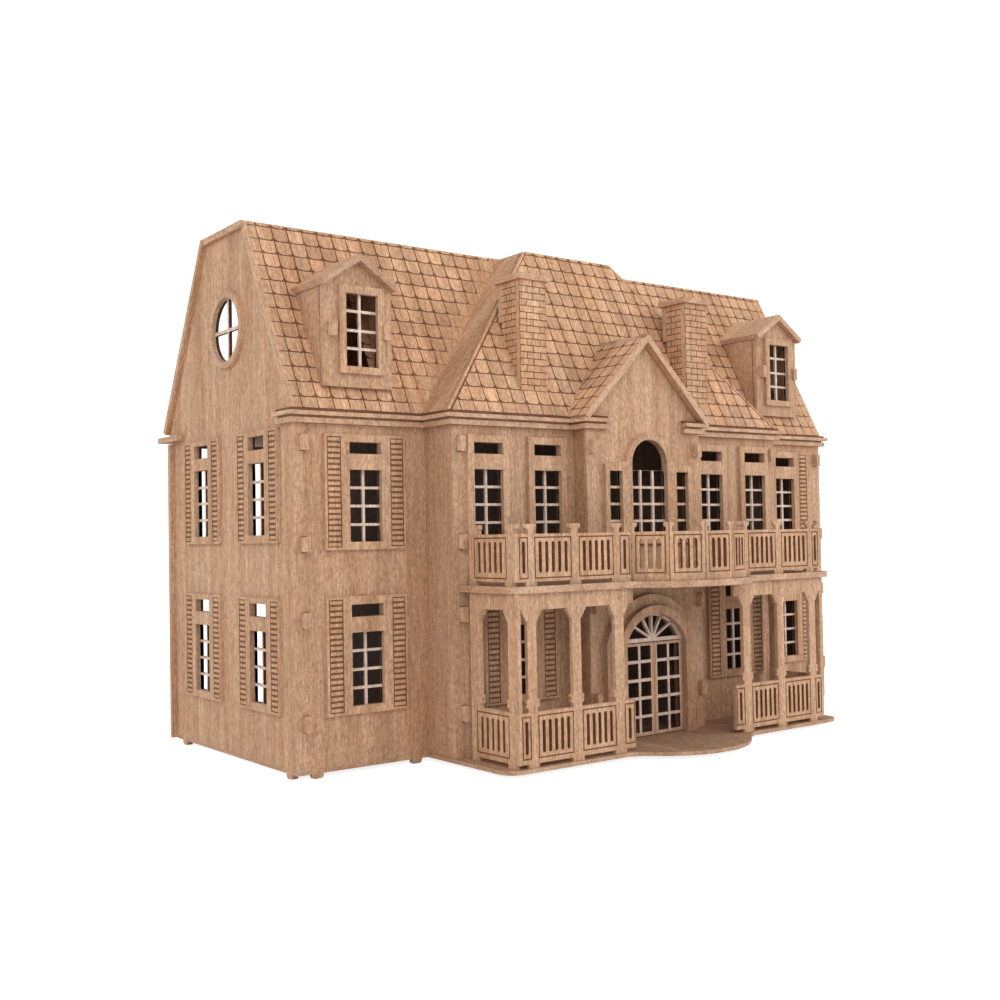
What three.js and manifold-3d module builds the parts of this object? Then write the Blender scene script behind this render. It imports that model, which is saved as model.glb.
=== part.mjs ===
// A laser-cut plywood dollhouse: two wings, a stepped centre with porch, balcony and gable, and a tiled
// mansard roof with dormers and chimneys. Millimetres, +Z up, +X to the right and +Y to the back.
// Walls, floors and roofs are flat boards cut from one thickness and slotted together with tabs.
import * as THREE from "three";
import { ConvexGeometry } from "three/addons/geometries/ConvexGeometry.js";
import { mergeVertices } from "three/addons/utils/BufferGeometryUtils.js";
import Module from "manifold-3d";

const wasm = await Module();
wasm.setup();

// Boards
const T = 3;
const TRIM_T = 1.9;
const RAIL_T = 2;
const GAP = 0.15;

// Levels, from the underside of the base plate
const FOOT_DROP = 2.6;
const BASE_TOP = 1.4;
const BASE_T = 1.8;
const MID_LOW = 76.3;
const MID_TOP = 79.3;
const WALL_TOP = 152;
const CORNICE_TOP = 155;
const ATTIC_TOP = 158;
const EAVE = 158.3;
const ROOF_TOP = 250.4;

// Plan, from the middle of the house and the front face of the wings
const WING_X = 178;
const STEP_X = 110;
const CENTRE_X = 38.6;
const STEP_Y = -21.9;
const CENTRE_Y = -32.7;
const BACK_Y = 133.6;
const PORCH_Y = -61;
const DECK_Y = -63.2;
const PARTITION_X = 107;
const CORE_X = 37.3;

// Tabs that pass through the front walls
const TAB_OUT = 3.3;
const LOW_TABS = [[18, 25], [62.7, 69.5]];
const HIGH_TABS = [[95.7, 102.4], [140, 146.9]];

// Roof slopes: horizontal run per unit of height
const FRONT_RUN = 1 / 1.985;
const BACK_RUN = 51.5 / 91.7;
const WING_FOOT_Y = -0.65;
const BUMP_FOOT_Y = -22.6;
const BACK_FOOT_Y = 143;
const BUMP_FOOT_X = 112;
const BUMP_TOP_X = 30;
const ROOF_X = 179;

// Doors
const DOOR_HALF = 20.3;
const ARCH_Z = 39.5;
const ARCH_R = 21.8;
const LEAF_LOW = 1.9;
const LEAF_TOP = 47.2;
const PIVOT_X = 18.4;
const PIVOT_Y = -34.5;
const PIN_R = 0.75;

// Attic pieces
const DORMER_X = 143.5;
// The openings of the back roof, one over each wing
const ATTIC_DOOR = { from: 115, to: 168, low: 175, high: 238 };
const DORMER_WINDOW_X = { left: -142, right: 144.2 };
const DORMER_Y = 2.5;
const DORMER_Z = 169.4;
const CHIMNEY_X = 56.4;

const house = new THREE.Group();
const TAN = 0xc99a72;
const DARK = 0xb98660;

function addMesh(name, geometry, colour = TAN) {
  const material = new THREE.MeshStandardMaterial({ color: colour, roughness: 0.72, metalness: 0 });
  const mesh = new THREE.Mesh(geometry, material);
  mesh.name = name;
  house.add(mesh);
  return mesh;
}

function mirrored(points) {
  return points.map(([a, b]) => [-a, b]).reverse();
}

function rect(x0, z0, x1, z1) {
  return [[x0, z0], [x1, z0], [x1, z1], [x0, z1]];
}

// An arched outline: straight jambs up to a round top of radius r about height cz
function arched(half, low, r, cz, steps = 20) {
  const spring = cz + Math.sqrt(Math.max(0, r * r - half * half));
  const start = Math.atan2(spring - cz, half);
  const points = [[-half, low], [half, low]];
  for (let i = 0; i <= steps; i += 1) {
    const angle = start + (Math.PI - 2 * start) * (i / steps);
    points.push([r * Math.cos(angle), cz + r * Math.sin(angle)]);
  }
  return points;
}

function disc(cx, cz, r, steps = 32) {
  const points = [];
  for (let i = 0; i < steps; i += 1) {
    const angle = (2 * Math.PI * i) / steps;
    points.push([cx + r * Math.cos(angle), cz + r * Math.sin(angle)]);
  }
  return points;
}

function prism(outline, depth) {
  const shape = new THREE.Shape(outline.map(([a, b]) => new THREE.Vector2(a, b)));
  return new THREE.ExtrudeGeometry(shape, { depth, bevelEnabled: false });
}

function extrude(outline, holes, depth) {
  const board = prism(outline, depth);
  if (holes.length === 0) {
    return board;
  }
  const cutters = holes.map((hole) => prism(hole, depth + 2).translate(0, 0, -1));
  return cut(board, cutters);
}

// A board facing the front: outline in (x, z), front face at y0
function front(outline, holes, y0, depth = T) {
  const geometry = extrude(outline, holes, depth);
  geometry.rotateX(Math.PI / 2);
  geometry.translate(0, y0 + depth, 0);
  return geometry;
}

// A board facing the side: outline in (y, z), left face at x0
function side(outline, holes, x0, depth = T) {
  const geometry = extrude(outline, holes, depth);
  const basis = new THREE.Matrix4();
  basis.makeBasis(new THREE.Vector3(0, 1, 0), new THREE.Vector3(0, 0, 1), new THREE.Vector3(1, 0, 0));
  geometry.applyMatrix4(basis);
  geometry.translate(x0, 0, 0);
  return geometry;
}

// A level board: outline in (x, y), underside at z0
function level(outline, holes, z0, depth = T) {
  const geometry = extrude(outline, holes, depth);
  geometry.translate(0, 0, z0);
  return geometry;
}

function hull(points) {
  return new ConvexGeometry(points.map(([x, y, z]) => new THREE.Vector3(x, y, z)));
}

function box(x0, y0, z0, x1, y1, z1) {
  const geometry = new THREE.BoxGeometry(x1 - x0, y1 - y0, z1 - z0);
  geometry.translate((x0 + x1) / 2, (y0 + y1) / 2, (z0 + z1) / 2);
  return geometry;
}

function solid(geometry) {
  const bare = geometry.clone();
  bare.deleteAttribute("normal");
  bare.deleteAttribute("uv");
  const merged = mergeVertices(bare, 1e-4);
  return new wasm.Manifold(new wasm.Mesh({
    numProp: 3,
    vertProperties: new Float32Array(merged.attributes.position.array),
    triVerts: new Uint32Array(merged.index.array),
  }));
}

function fromSolid(body) {
  const mesh = body.getMesh();
  const geometry = new THREE.BufferGeometry();
  geometry.setAttribute("position", new THREE.BufferAttribute(new Float32Array(mesh.vertProperties), 3));
  geometry.setIndex(new THREE.BufferAttribute(new Uint32Array(mesh.triVerts), 1));
  const plain = geometry.toNonIndexed();
  plain.computeVertexNormals();
  return plain;
}

function join(geometries) {
  return fromSolid(geometries.map(solid).reduce((sum, body) => sum.add(body)));
}

function cut(geometry, cutters) {
  return fromSolid(cutters.map(solid).reduce((body, cutter) => body.subtract(cutter), solid(geometry)));
}

// Panes between glazing bars: columns and rows of openings in one window
function panes(x0, x1, zEdges, columns, bar = 1.1) {
  const holes = [];
  const width = (x1 - x0 - bar * (columns - 1)) / columns;
  for (let c = 0; c < columns; c += 1) {
    const left = x0 + c * (width + bar);
    for (let r = 0; r + 1 < zEdges.length; r += 1) {
      const low = zEdges[r] + (r === 0 ? 0 : bar / 2);
      const high = zEdges[r + 1] - (r + 2 === zEdges.length ? 0 : bar / 2);
      holes.push(rect(left, low, left + width, high));
    }
  }
  return holes;
}

function windowHoles(centre, half, main, bars, transom, columns) {
  const holes = panes(centre - half, centre + half, [main[0], ...bars, main[1]], columns);
  return holes.concat(panes(centre - half, centre + half, transom, columns));
}

const HALF_PANE = 8.25;
const UPPER_WIN = { main: [99.8, 132], bars: [107.5, 115.8, 124], transom: [139.1, 144.4], trim: [96.3, 147.6] };
const LOWER_WIN = { main: [27.1, 59.6], bars: [34.8, 42.9, 51.3], transom: [66.4, 72], trim: [23.6, 76] };
const GABLE_HIGH = { main: [103.5, 136.3], bars: [111.7, 119.9, 127.9], transom: [142.2, 148.5], trim: [99.9, 151] };
const GABLE_LOW = { main: [27.7, 60.2], bars: [35.4, 43.5, 51.7], transom: [66.6, 72.6], trim: [24.2, 75.3] };

// A trim board round a window, with its openings left clear
function trimBoard(centre, half, win) {
  const outline = rect(centre - half, win.trim[0], centre + half, win.trim[1]);
  const holes = [
    rect(centre - HALF_PANE, win.main[0], centre + HALF_PANE, win.main[1]),
    rect(centre - HALF_PANE, win.transom[0], centre + HALF_PANE, win.transom[1]),
  ];
  return { outline, holes };
}

// Notches for tabs at the left end of a board, as extra outline points from top to bottom
function notchedLeft(x0, z0, x1, z1, tabs, depth) {
  const points = [[x0, z0], [x1, z0], [x1, z1], [x0, z1]];
  for (const [low, high] of [...tabs].reverse()) {
    points.push([x0, high + 0.3], [x0 + depth, high + 0.3], [x0 + depth, low - 0.3], [x0, low - 0.3]);
  }
  return points;
}

// A partition outline in (y, z) with tabs that stand out of its front edge
function tabbed(y0, z0, y1, z1, tabs, reach) {
  const points = [[y0, z0], [y1, z0], [y1, z1], [y0, z1]];
  for (const [low, high] of [...tabs].reverse()) {
    points.push([y0, high], [y0 - reach, high], [y0 - reach, low], [y0, low]);
  }
  return points;
}

function flipX(outline, holes, flip) {
  if (!flip) {
    return [outline, holes];
  }
  return [mirrored(outline), holes.map(mirrored)];
}

// Level boards
const BOW = [[37, PORCH_Y], [26, -74.5], [9, -81]];
const BOW_EDGE = [[39, DECK_Y], [27.4, -76.6], [9.5, -83.4]];
const FEET_X = [[114.3, 119.8], [165.2, 170.8]];
const FEET_Y = [[4.8, 10.2], [120.8, 126.2]];

function roundedFront(x, y, r) {
  const points = [];
  for (let i = 0; i <= 6; i += 1) {
    const angle = -Math.PI / 2 + (Math.PI / 2) * (i / 6);
    points.push([x - r + r * Math.cos(angle), y + r + r * Math.sin(angle)]);
  }
  return points;
}

function symmetric(rightHalf) {
  return rightHalf.concat(mirrored(rightHalf));
}

function addBase() {
  const step = [[9, -82.6], [20, -78.6], [30, -71.6], [37, -64.6], [41, -62.4]];
  const edge = [...step, ...roundedFront(111, -62.4, 8), [111, 0], [WING_X, 0]];
  for (const [low, high] of FEET_Y) {
    edge.push([WING_X, low - GAP], [WING_X - T - GAP, low - GAP], [WING_X - T - GAP, high + GAP]);
    edge.push([WING_X, high + GAP]);
  }
  edge.push([WING_X, BACK_Y - GAP]);
  const holes = [];
  for (const [low, high] of FEET_X) {
    holes.push(rect(low - GAP, -1, high + GAP, T + GAP));
    holes.push(rect(-high - GAP, -1, -low + GAP, T + GAP));
  }
  holes.push(disc(PIVOT_X, PIVOT_Y, PIN_R + 0.1, 12), disc(-PIVOT_X, PIVOT_Y, PIN_R + 0.1, 12));
  addMesh("base_plate", level(symmetric(edge), holes, BASE_TOP - BASE_T, BASE_T), DARK);
}

function addMidFloor() {
  const inner = STEP_X - T - GAP;
  const half = [...[...BOW_EDGE].reverse(), ...roundedFront(inner, DECK_Y, 8), [inner, T + GAP]];
  half.push([WING_X - 2 * T - GAP, T + GAP], [WING_X - 2 * T - GAP, BACK_Y - GAP]);
  addMesh("mid_floor", level(symmetric(half), [], MID_LOW), DARK);
}

// The cornice boards follow the front in steps, and leave the middle of the centre gable and the
// middle of the gable walls clear
function corniceHalf(over, gableX, ears) {
  const half = [[gableX, CENTRE_Y + T + GAP], [gableX, CENTRE_Y - over]];
  half.push([CENTRE_X + over, CENTRE_Y - over], [CENTRE_X + over, STEP_Y - over]);
  half.push([STEP_X + over, STEP_Y - over], [STEP_X + over, -over], [WING_X + over, -over]);
  half.push([WING_X + over, ears[0]], [WING_X - T - GAP, ears[0]], [WING_X - T - GAP, ears[1]]);
  half.push([WING_X + over, ears[1]], [WING_X + over, BACK_Y + T + 9 + over - 3]);
  return half;
}

function addCornices() {
  const ears = [11.7, 121];
  addMesh("cornice_moulding", level(symmetric(corniceHalf(3, 26.3, ears)), [], WALL_TOP + GAP, T - GAP));
  addMesh("attic_floor", level(symmetric(corniceHalf(4, 26.3, ears)), [], CORNICE_TOP + GAP, T - GAP));
}

// Gable walls and the frames behind them
function gableOutline() {
  const inset = T / Math.sin(Math.atan(1 / FRONT_RUN)) + 0.3;
  const backInset = T / Math.sin(Math.atan(1 / BACK_RUN)) + 0.3;
  const top = ROOF_TOP - T - 0.3;
  const frontY = (z) => WING_FOOT_Y + inset + (z - EAVE) * FRONT_RUN;
  const backY = (z) => BACK_FOOT_Y - backInset - (z - EAVE) * BACK_RUN;
  const low = ATTIC_TOP + GAP;
  const points = [[0, BASE_TOP + GAP]];
  points.push([FEET_Y[0][0], BASE_TOP + GAP], [FEET_Y[0][0], -FOOT_DROP]);
  points.push([FEET_Y[0][1], -FOOT_DROP], [FEET_Y[0][1], BASE_TOP + GAP]);
  points.push([FEET_Y[1][0], BASE_TOP + GAP], [FEET_Y[1][0], -FOOT_DROP]);
  points.push([FEET_Y[1][1], -FOOT_DROP], [FEET_Y[1][1], BASE_TOP + GAP]);
  points.push([BACK_Y - GAP, BASE_TOP + GAP], [BACK_Y - GAP, WALL_TOP], [120.7, WALL_TOP], [120.7, low]);
  points.push([backY(low), low], [backY(top), top], [frontY(top), top], [frontY(low), low]);
  points.push([12, low], [12, WALL_TOP], [0, WALL_TOP]);
  return points;
}

function roundPanes(cy, cz, r, bar) {
  const holes = [];
  const start = Math.asin(bar / 2 / r);
  for (let q = 0; q < 4; q += 1) {
    const base = (q * Math.PI) / 2;
    const points = [];
    const corner = bar / 2;
    const cos = Math.cos(base);
    const sin = Math.sin(base);
    points.push([cy + corner * cos - corner * sin, cz + corner * sin + corner * cos]);
    for (let i = 0; i <= 8; i += 1) {
      const angle = base + start + (Math.PI / 2 - 2 * start) * (i / 8);
      points.push([cy + r * Math.cos(angle), cz + r * Math.sin(angle)]);
    }
    holes.push(points);
  }
  return holes;
}

const GABLE_CENTRES = [33.2, 95.5];
const GABLE_WINDOWS = [GABLE_HIGH, GABLE_LOW];
const ROUND_Y = 66.4;
const ROUND_Z = 201.8;
const LINING_FRONT = 14;
const LINING_BACK = 17;

function addGable(name, frameName, sign, lit) {
  const holes = roundPanes(ROUND_Y, ROUND_Z, 14.9, 1.4);
  const trims = [];
  for (const centre of GABLE_CENTRES) {
    for (const win of GABLE_WINDOWS) {
      holes.push(...windowHoles(centre, HALF_PANE, win.main, win.bars, win.transom, 1));
      trims.push(trimBoard(centre, 20.6, win));
    }
  }
  const x0 = sign < 0 ? -WING_X : WING_X - T;
  const trimX = sign < 0 ? -WING_X - TRIM_T : WING_X - 1;
  const layers = [side(gableOutline(), holes, x0)];
  for (const trim of trims) {
    layers.push(side(trim.outline, trim.holes, trimX, TRIM_T + 1));
  }
  layers.push(side(disc(ROUND_Y, ROUND_Z, 17.8), [disc(ROUND_Y, ROUND_Z, 14.9)], trimX, TRIM_T + 1));
  addMesh(name, join(layers));

  const frame = tabbed(T + GAP, BASE_TOP + GAP, BACK_Y - GAP, WALL_TOP, [...LOW_TABS, ...HIGH_TABS],
    T + GAP + TAB_OUT);
  const frameHoles = [];
  for (const centre of lit) {
    for (const win of GABLE_WINDOWS) {
      frameHoles.push(rect(centre - LINING_FRONT, win.main[0] - 3, centre + LINING_BACK, win.transom[1] + 1.5));
    }
  }
  const frameX = sign < 0 ? -WING_X + T + GAP : WING_X - 2 * T;
  addMesh(frameName, side(frame, frameHoles, frameX, T - GAP));
}

// Front walls. Each side has its own window positions, given as distances from the middle
const FRONT_WINDOWS = {
  left: { wing: 142.9, upper: [90.4, 55.2], lower: 72.8 },
  right: { wing: 144, upper: [92.2, 57.7], lower: 74.5 },
};

function shutteredLayers(centre, half, win, y0) {
  const trim = trimBoard(centre, half, win);
  return front(trim.outline, trim.holes, y0 - TRIM_T, TRIM_T + 1);
}

function addWingFront(side_, flip) {
  const centre = FRONT_WINDOWS[side_].wing;
  const x0 = -WING_X + T + GAP;
  const points = notchedLeft(x0, BASE_TOP + GAP, -PARTITION_X - GAP, WALL_TOP, [...LOW_TABS, ...HIGH_TABS], T + 0.2);
  const feet = [];
  for (const [low, high] of [...FEET_X].reverse()) {
    feet.push([-high, BASE_TOP + GAP], [-high, 1 - FOOT_DROP], [1 - high, -FOOT_DROP], [-1 - low, -FOOT_DROP],
      [-low, 1 - FOOT_DROP], [-low, BASE_TOP + GAP]);
  }
  points.splice(1, 0, ...feet);
  const holes = [];
  const layers = [];
  for (const win of [UPPER_WIN, LOWER_WIN]) {
    holes.push(...windowHoles(-centre, HALF_PANE, win.main, win.bars, win.transom, 2));
  }
  const [outline, cuts] = flipX(points, holes, flip);
  layers.push(front(outline, cuts, 0));
  for (const win of [UPPER_WIN, LOWER_WIN]) {
    layers.push(shutteredLayers(flip ? centre : -centre, 20.7, win, 0));
  }
  addMesh(`wing_front_${side_}`, join(layers));
}

function addFrontWall(side_, flip) {
  const x0 = -PARTITION_X + GAP;
  const x1 = -CORE_X - 0.3;
  const sign = flip ? 1 : -1;
  const windows = FRONT_WINDOWS[side_];

  const low = notchedLeft(x0, BASE_TOP + GAP, x1, MID_LOW - GAP, LOW_TABS, T + 0.2);
  const lowHoles = windowHoles(-windows.lower, HALF_PANE, LOWER_WIN.main, LOWER_WIN.bars, LOWER_WIN.transom, 2);
  const [lowOutline, lowCuts] = flipX(low, lowHoles, flip);
  const shortTrim = { ...LOWER_WIN, trim: [LOWER_WIN.trim[0], 75.3] };
  addMesh(`front_wall_${side_}_lower`, join([
    front(lowOutline, lowCuts, STEP_Y),
    shutteredLayers(windows.lower * sign, 21.3, shortTrim, STEP_Y),
  ]));

  const high = notchedLeft(x0, MID_TOP + GAP, x1, WALL_TOP, HIGH_TABS, T + 0.2);
  const highHoles = [];
  const layers = [];
  for (const centre of windows.upper) {
    highHoles.push(...windowHoles(-centre, HALF_PANE, UPPER_WIN.main, UPPER_WIN.bars, UPPER_WIN.transom, 2));
    layers.push(shutteredLayers(centre * sign, 11.7, UPPER_WIN, STEP_Y));
  }
  const [highOutline, highCuts] = flipX(high, highHoles, flip);
  addMesh(`front_wall_${side_}_upper`, join([front(highOutline, highCuts, STEP_Y), ...layers]));
}

function addReturn(name, sign) {
  const x0 = sign < 0 ? -STEP_X : STEP_X - T + GAP;
  addMesh(name, box(x0, STEP_Y, BASE_TOP + GAP, x0 + T - GAP, -GAP, WALL_TOP));
}

// Inner walls with doorways
function addPartition(side_, sign, faceX, frontY, name, doorY) {
  const x0 = sign < 0 ? -faceX + GAP : faceX - T;
  const startY = frontY + T + GAP;
  const reach = T + GAP + TAB_OUT;
  const low = tabbed(startY, BASE_TOP + GAP, BACK_Y - GAP, MID_LOW - GAP, LOW_TABS, reach);
  const high = tabbed(startY, MID_TOP + GAP, BACK_Y - GAP, WALL_TOP, HIGH_TABS, reach);
  const doorways = (z) => [rect(doorY - 13, z, doorY + 13, z + 54)];
  addMesh(`${name}_${side_}_lower`, side(low, doorways(BASE_TOP + 6), x0, T - GAP));
  addMesh(`${name}_${side_}_upper`, side(high, doorways(MID_TOP + 6), x0, T - GAP));
}

// Centre walls. The middle window stands a little to the right of the door
const WINDOW_X = 1.6;

function centreSlots(tabs) {
  const slots = [];
  for (const [low, high] of tabs) {
    slots.push(rect(CORE_X - T - 0.2, low - 0.3, CORE_X + 0.2, high + 0.3));
    slots.push(rect(-CORE_X - 0.2, low - 0.3, -CORE_X + T + 0.2, high + 0.3));
  }
  return slots;
}

function addCentreWalls() {
  const low = [[-CENTRE_X, BASE_TOP + GAP], [-DOOR_HALF, BASE_TOP + GAP]];
  const arch = arched(DOOR_HALF, BASE_TOP + GAP, ARCH_R, ARCH_Z).slice(2).reverse();
  low.push(...arch, [DOOR_HALF, BASE_TOP + GAP], [CENTRE_X, BASE_TOP + GAP]);
  low.push([CENTRE_X, MID_LOW - GAP], [-CENTRE_X, MID_LOW - GAP]);
  addMesh("centre_wall_lower", front(low, centreSlots(LOW_TABS), CENTRE_Y));

  const slope = 196.56 - 0.3 - ATTIC_TOP - GAP;
  const high = [[-CENTRE_X, MID_TOP + GAP], [CENTRE_X, MID_TOP + GAP], [CENTRE_X, WALL_TOP]];
  high.push([26, WALL_TOP], [26, ATTIC_TOP + GAP], [slope, ATTIC_TOP + GAP], [0, ATTIC_TOP + GAP + slope]);
  high.push([-slope, ATTIC_TOP + GAP], [-26, ATTIC_TOP + GAP], [-26, WALL_TOP], [-CENTRE_X, WALL_TOP]);
  const holes = centreSlots(HIGH_TABS);
  const shifted = (outlines) => outlines.map((outline) => outline.map(([x, z]) => [x + WINDOW_X, z]));
  for (const left of [-27, 18.6]) {
    holes.push(...shifted(panes(left, left + 8.4, [102, 107.5, 115.8, 124.1, 132], 1)));
  }
  holes.push(...shifted(panes(-12, 12, [102, 107.4, 115.8, 124.1, 131.4], 3)));
  holes.push(...shifted([arched(12, 132.6, 12, 135.9, 14)]));
  addMesh("centre_wall_upper", front(high, holes, CENTRE_Y));

  const trim = [[-29.7, 96], [29.7, 96], [29.7, 135.1]];
  const ring = arched(15.6, 135.1, 15.6, 135.2, 20).slice(2);
  trim.push(...ring, [-29.7, 135.1]);
  const clear = [rect(-27, 102, -18.6, 132), rect(18.6, 102, 27, 132), arched(12, 102, 12, 135.9, 14)];
  const board = front(trim, clear, CENTRE_Y - TRIM_T + GAP, TRIM_T - 2 * GAP);
  addMesh("centre_window_trim", board.translate(WINDOW_X, 0, 0));
}

// The doorway: two arched boards, the inner one carrying the transom bar and the fanlight
function openArch(half, r) {
  const points = arched(half, BASE_TOP + GAP, r, ARCH_Z);
  const inner = arched(DOOR_HALF, BASE_TOP + GAP, ARCH_R, ARCH_Z).slice(2).reverse();
  return [[-DOOR_HALF, BASE_TOP + GAP], ...inner, [DOOR_HALF, BASE_TOP + GAP], ...points.slice(1),
    [-half, BASE_TOP + GAP]];
}

function addDoorway() {
  const y1 = CENTRE_Y - T;
  const layers = [front(openArch(30.5, 31.5), [], y1 + GAP, T - 2 * GAP)];
  layers.push(box(-DOOR_HALF - 1, y1 + GAP, 47.5, DOOR_HALF + 1, CENTRE_Y - GAP, 49.4));
  for (let i = 1; i <= 5; i += 1) {
    const angle = (Math.PI * i) / 6;
    const reach = ARCH_R * 0.62 + 6 * Math.abs(Math.cos(angle)) + 3;
    const bar = new THREE.BoxGeometry(reach, 1.4, 1.1);
    bar.translate(reach / 2, 0, 0);
    bar.rotateY(-angle);
    bar.translate(0, CENTRE_Y - 1, 48.6);
    layers.push(bar);
  }
  const pins = [-1, 1].map((sign) => {
    const pin = new THREE.CylinderGeometry(PIN_R + 0.1, PIN_R + 0.1, 2.4, 16);
    pin.rotateX(Math.PI / 2);
    pin.translate(sign * PIVOT_X, PIVOT_Y, 47.4);
    return pin;
  });
  addMesh("door_arch_inner", cut(join(layers), pins));
  addMesh("door_arch_outer", front(openArch(25.9, 26.1), [], y1 - T + GAP, T - GAP));
}

function addLeaf(name, sign) {
  const x0 = 0.15;
  const x1 = 19.5;
  const outline = rect(x0, LEAF_LOW, x1, LEAF_TOP);
  const holes = panes(x0 + 1.9, x1 - 1.7, [3.5, 11.3, 20.2, 29, 38.1, 45.9], 2, 1.5);
  const [points, cuts] = flipX(outline, holes, sign < 0);
  const layers = [front(points, cuts, -36)];
  for (const z of [LEAF_LOW - 0.9, LEAF_TOP + 0.2]) {
    const pin = new THREE.CylinderGeometry(PIN_R, PIN_R, 2.2, 16);
    pin.rotateX(Math.PI / 2);
    pin.translate(sign * PIVOT_X, PIVOT_Y, z);
    layers.push(pin);
  }
  addMesh(name, join(layers), DARK);
}

// Balustrades: a panel with slots, feet and post caps, along any straight run
function slotRow(from, to, count, low, high, width) {
  const holes = [];
  const pitch = (to - from) / count;
  for (let i = 0; i < count; i += 1) {
    const centre = from + pitch * (i + 0.5);
    holes.push(rect(centre - width / 2, low, centre + width / 2, high));
  }
  return holes;
}

// The front balustrades end at the outer corner of the porch. The right porch stands a little
// nearer the middle than the left one.
const PORCH_X = 104.6;
const RIGHT_SHIFT = 5.4;
const CORNER_Y = PORCH_Y + RAIL_T + GAP;
const SIDE_END_Y = -26.6;
const BAYS = [[-102.8, -97.8, 1], [-94.4, -73.2, 5], [-69.1, -48.1, 5], [-44.4, -38.2, 1]];
const SIDE_BAYS = [[-53.7, -31.2, 5]];
const POSTS = [-96.2, -71.2, -46.1];
const postCap = (x) => [x - 1.6, x + 1.6, x - 3, x + 3];

// The outline of a balustrade in (along, z): flat rail, gaps between its feet and a T cap on each post.
// A cap is given by the ends of its stem and the ends of its top
function railOutline(from, to, z0, caps, gaps) {
  const rail = z0 + 22.5;
  const points = [];
  if (!gaps.length || gaps[0][0] > from) {
    points.push([from, z0]);
  }
  for (const [low, high] of gaps) {
    if (low > from) {
      points.push([low, z0]);
    }
    points.push([Math.max(low, from), z0 + 1.7], [high, z0 + 1.7], [high, z0]);
  }
  points.push([to, z0], [to, rail]);
  for (const [stemLow, stemHigh, low, high] of [...caps].reverse()) {
    points.push([stemHigh, rail], [stemHigh, rail + 2.2], [high, rail + 2.2], [high, rail + 4.3]);
    points.push([low, rail + 4.3], [low, rail + 2.2], [stemLow, rail + 2.2]);
    if (stemLow > from) {
      points.push([stemLow, rail]);
    }
  }
  if (!caps.length || caps[0][0] > from) {
    points.push([from, rail]);
  }
  return points;
}

function bayHoles(bays, low, high) {
  return bays.flatMap(([from, to, count]) => {
    const margin = count === 1 ? (to - from) / 2 - 0.9 : 1.4;
    return slotRow(from + margin, to - margin, count, low, high, 1.7);
  });
}

// A front board drawn for the left porch, or the same board for the right one
function porchFront(outline, holes, flip) {
  const [points, cuts] = flipX(outline, holes, flip);
  const board = front(points, cuts, PORCH_Y, RAIL_T);
  board.translate(flip ? -RIGHT_SHIFT : 0, 0, 0);
  return board;
}

function porchSide(outline, holes, flip) {
  return side(outline, holes, flip ? PORCH_X - RIGHT_SHIFT - RAIL_T : -PORCH_X, RAIL_T);
}

function addBalconies() {
  const z0 = MID_TOP + GAP;
  const gaps = [[-104.6, -99.3], [-93.2, -74.4], [-67.9, -49.3]];
  for (const [side_, flip] of [["left", false], ["right", true]]) {
    const bays = flip ? BAYS.slice(0, 3) : BAYS;
    const points = railOutline(-PORCH_X, flip ? -42.8 : -37.4, z0, POSTS.map(postCap), gaps);
    addMesh(`balcony_front_${side_}`, porchFront(points, bayHoles(bays, 85, 98.6), flip));
    const caps = [[CORNER_Y, -55.7, PORCH_Y, -54.1], [-33.6, -32, -34.4, -31.2]];
    const run = railOutline(CORNER_Y, SIDE_END_Y, z0, caps, [[-53, -32]]);
    addMesh(`balcony_side_${side_}`, porchSide(run, bayHoles(SIDE_BAYS, 85, 98.6), flip));
  }
  const ring = [...BOW].map(([x, y]) => [-x, y]).concat([...BOW].reverse());
  for (let i = 0; i < 5; i += 1) {
    const [x0, y0] = ring[i];
    const [x1, y1] = ring[i + 1];
    const length = Math.hypot(x1 - x0, y1 - y0);
    const from = -length / 2 + 1;
    const to = length / 2 - 1;
    const outline = railOutline(from, to, 0, [], []);
    outline.splice(-2, 2, [to, 26.8], [to - 1.8, 26.8], [to - 1.8, 24.7], [to - 0.9, 24.7], [to - 0.9, 22.5],
      [from + 0.9, 22.5], [from + 0.9, 24.7], [from + 1.8, 24.7], [from + 1.8, 26.8], [from, 26.8]);
    const panel = addMesh(`bow_panel_${i + 1}`, front(outline, slotRow(-5.6, 5.6, 3, 5.6, 19.2, 2), 0, RAIL_T));
    panel.position.set((x0 + x1) / 2, (y0 + y1) / 2, z0);
    panel.rotation.z = Math.atan2(y1 - y0, x1 - x0);
  }
}

// Porch: beam, columns with stepped heads and feet, and a balustrade between them
function columnHead(x, out) {
  return [[x, 64.5], [x + out, 64.5], [x + out, 66], [x + 2 * out, 66], [x + 2 * out, 67.5],
    [x + 3 * out, 67.5], [x + 3 * out, 69]];
}

function porchBays(edges) {
  return edges.map(([from, to]) => [
    [from + 1.2, 25.1], [to - 1.2, 25.1], [to - 1.2, 30.6], [to, 30.6],
    ...columnHead(to, -1), ...columnHead(from, 1).reverse(),
    [from, 30.6], [from + 1.2, 30.6],
  ]);
}

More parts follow.
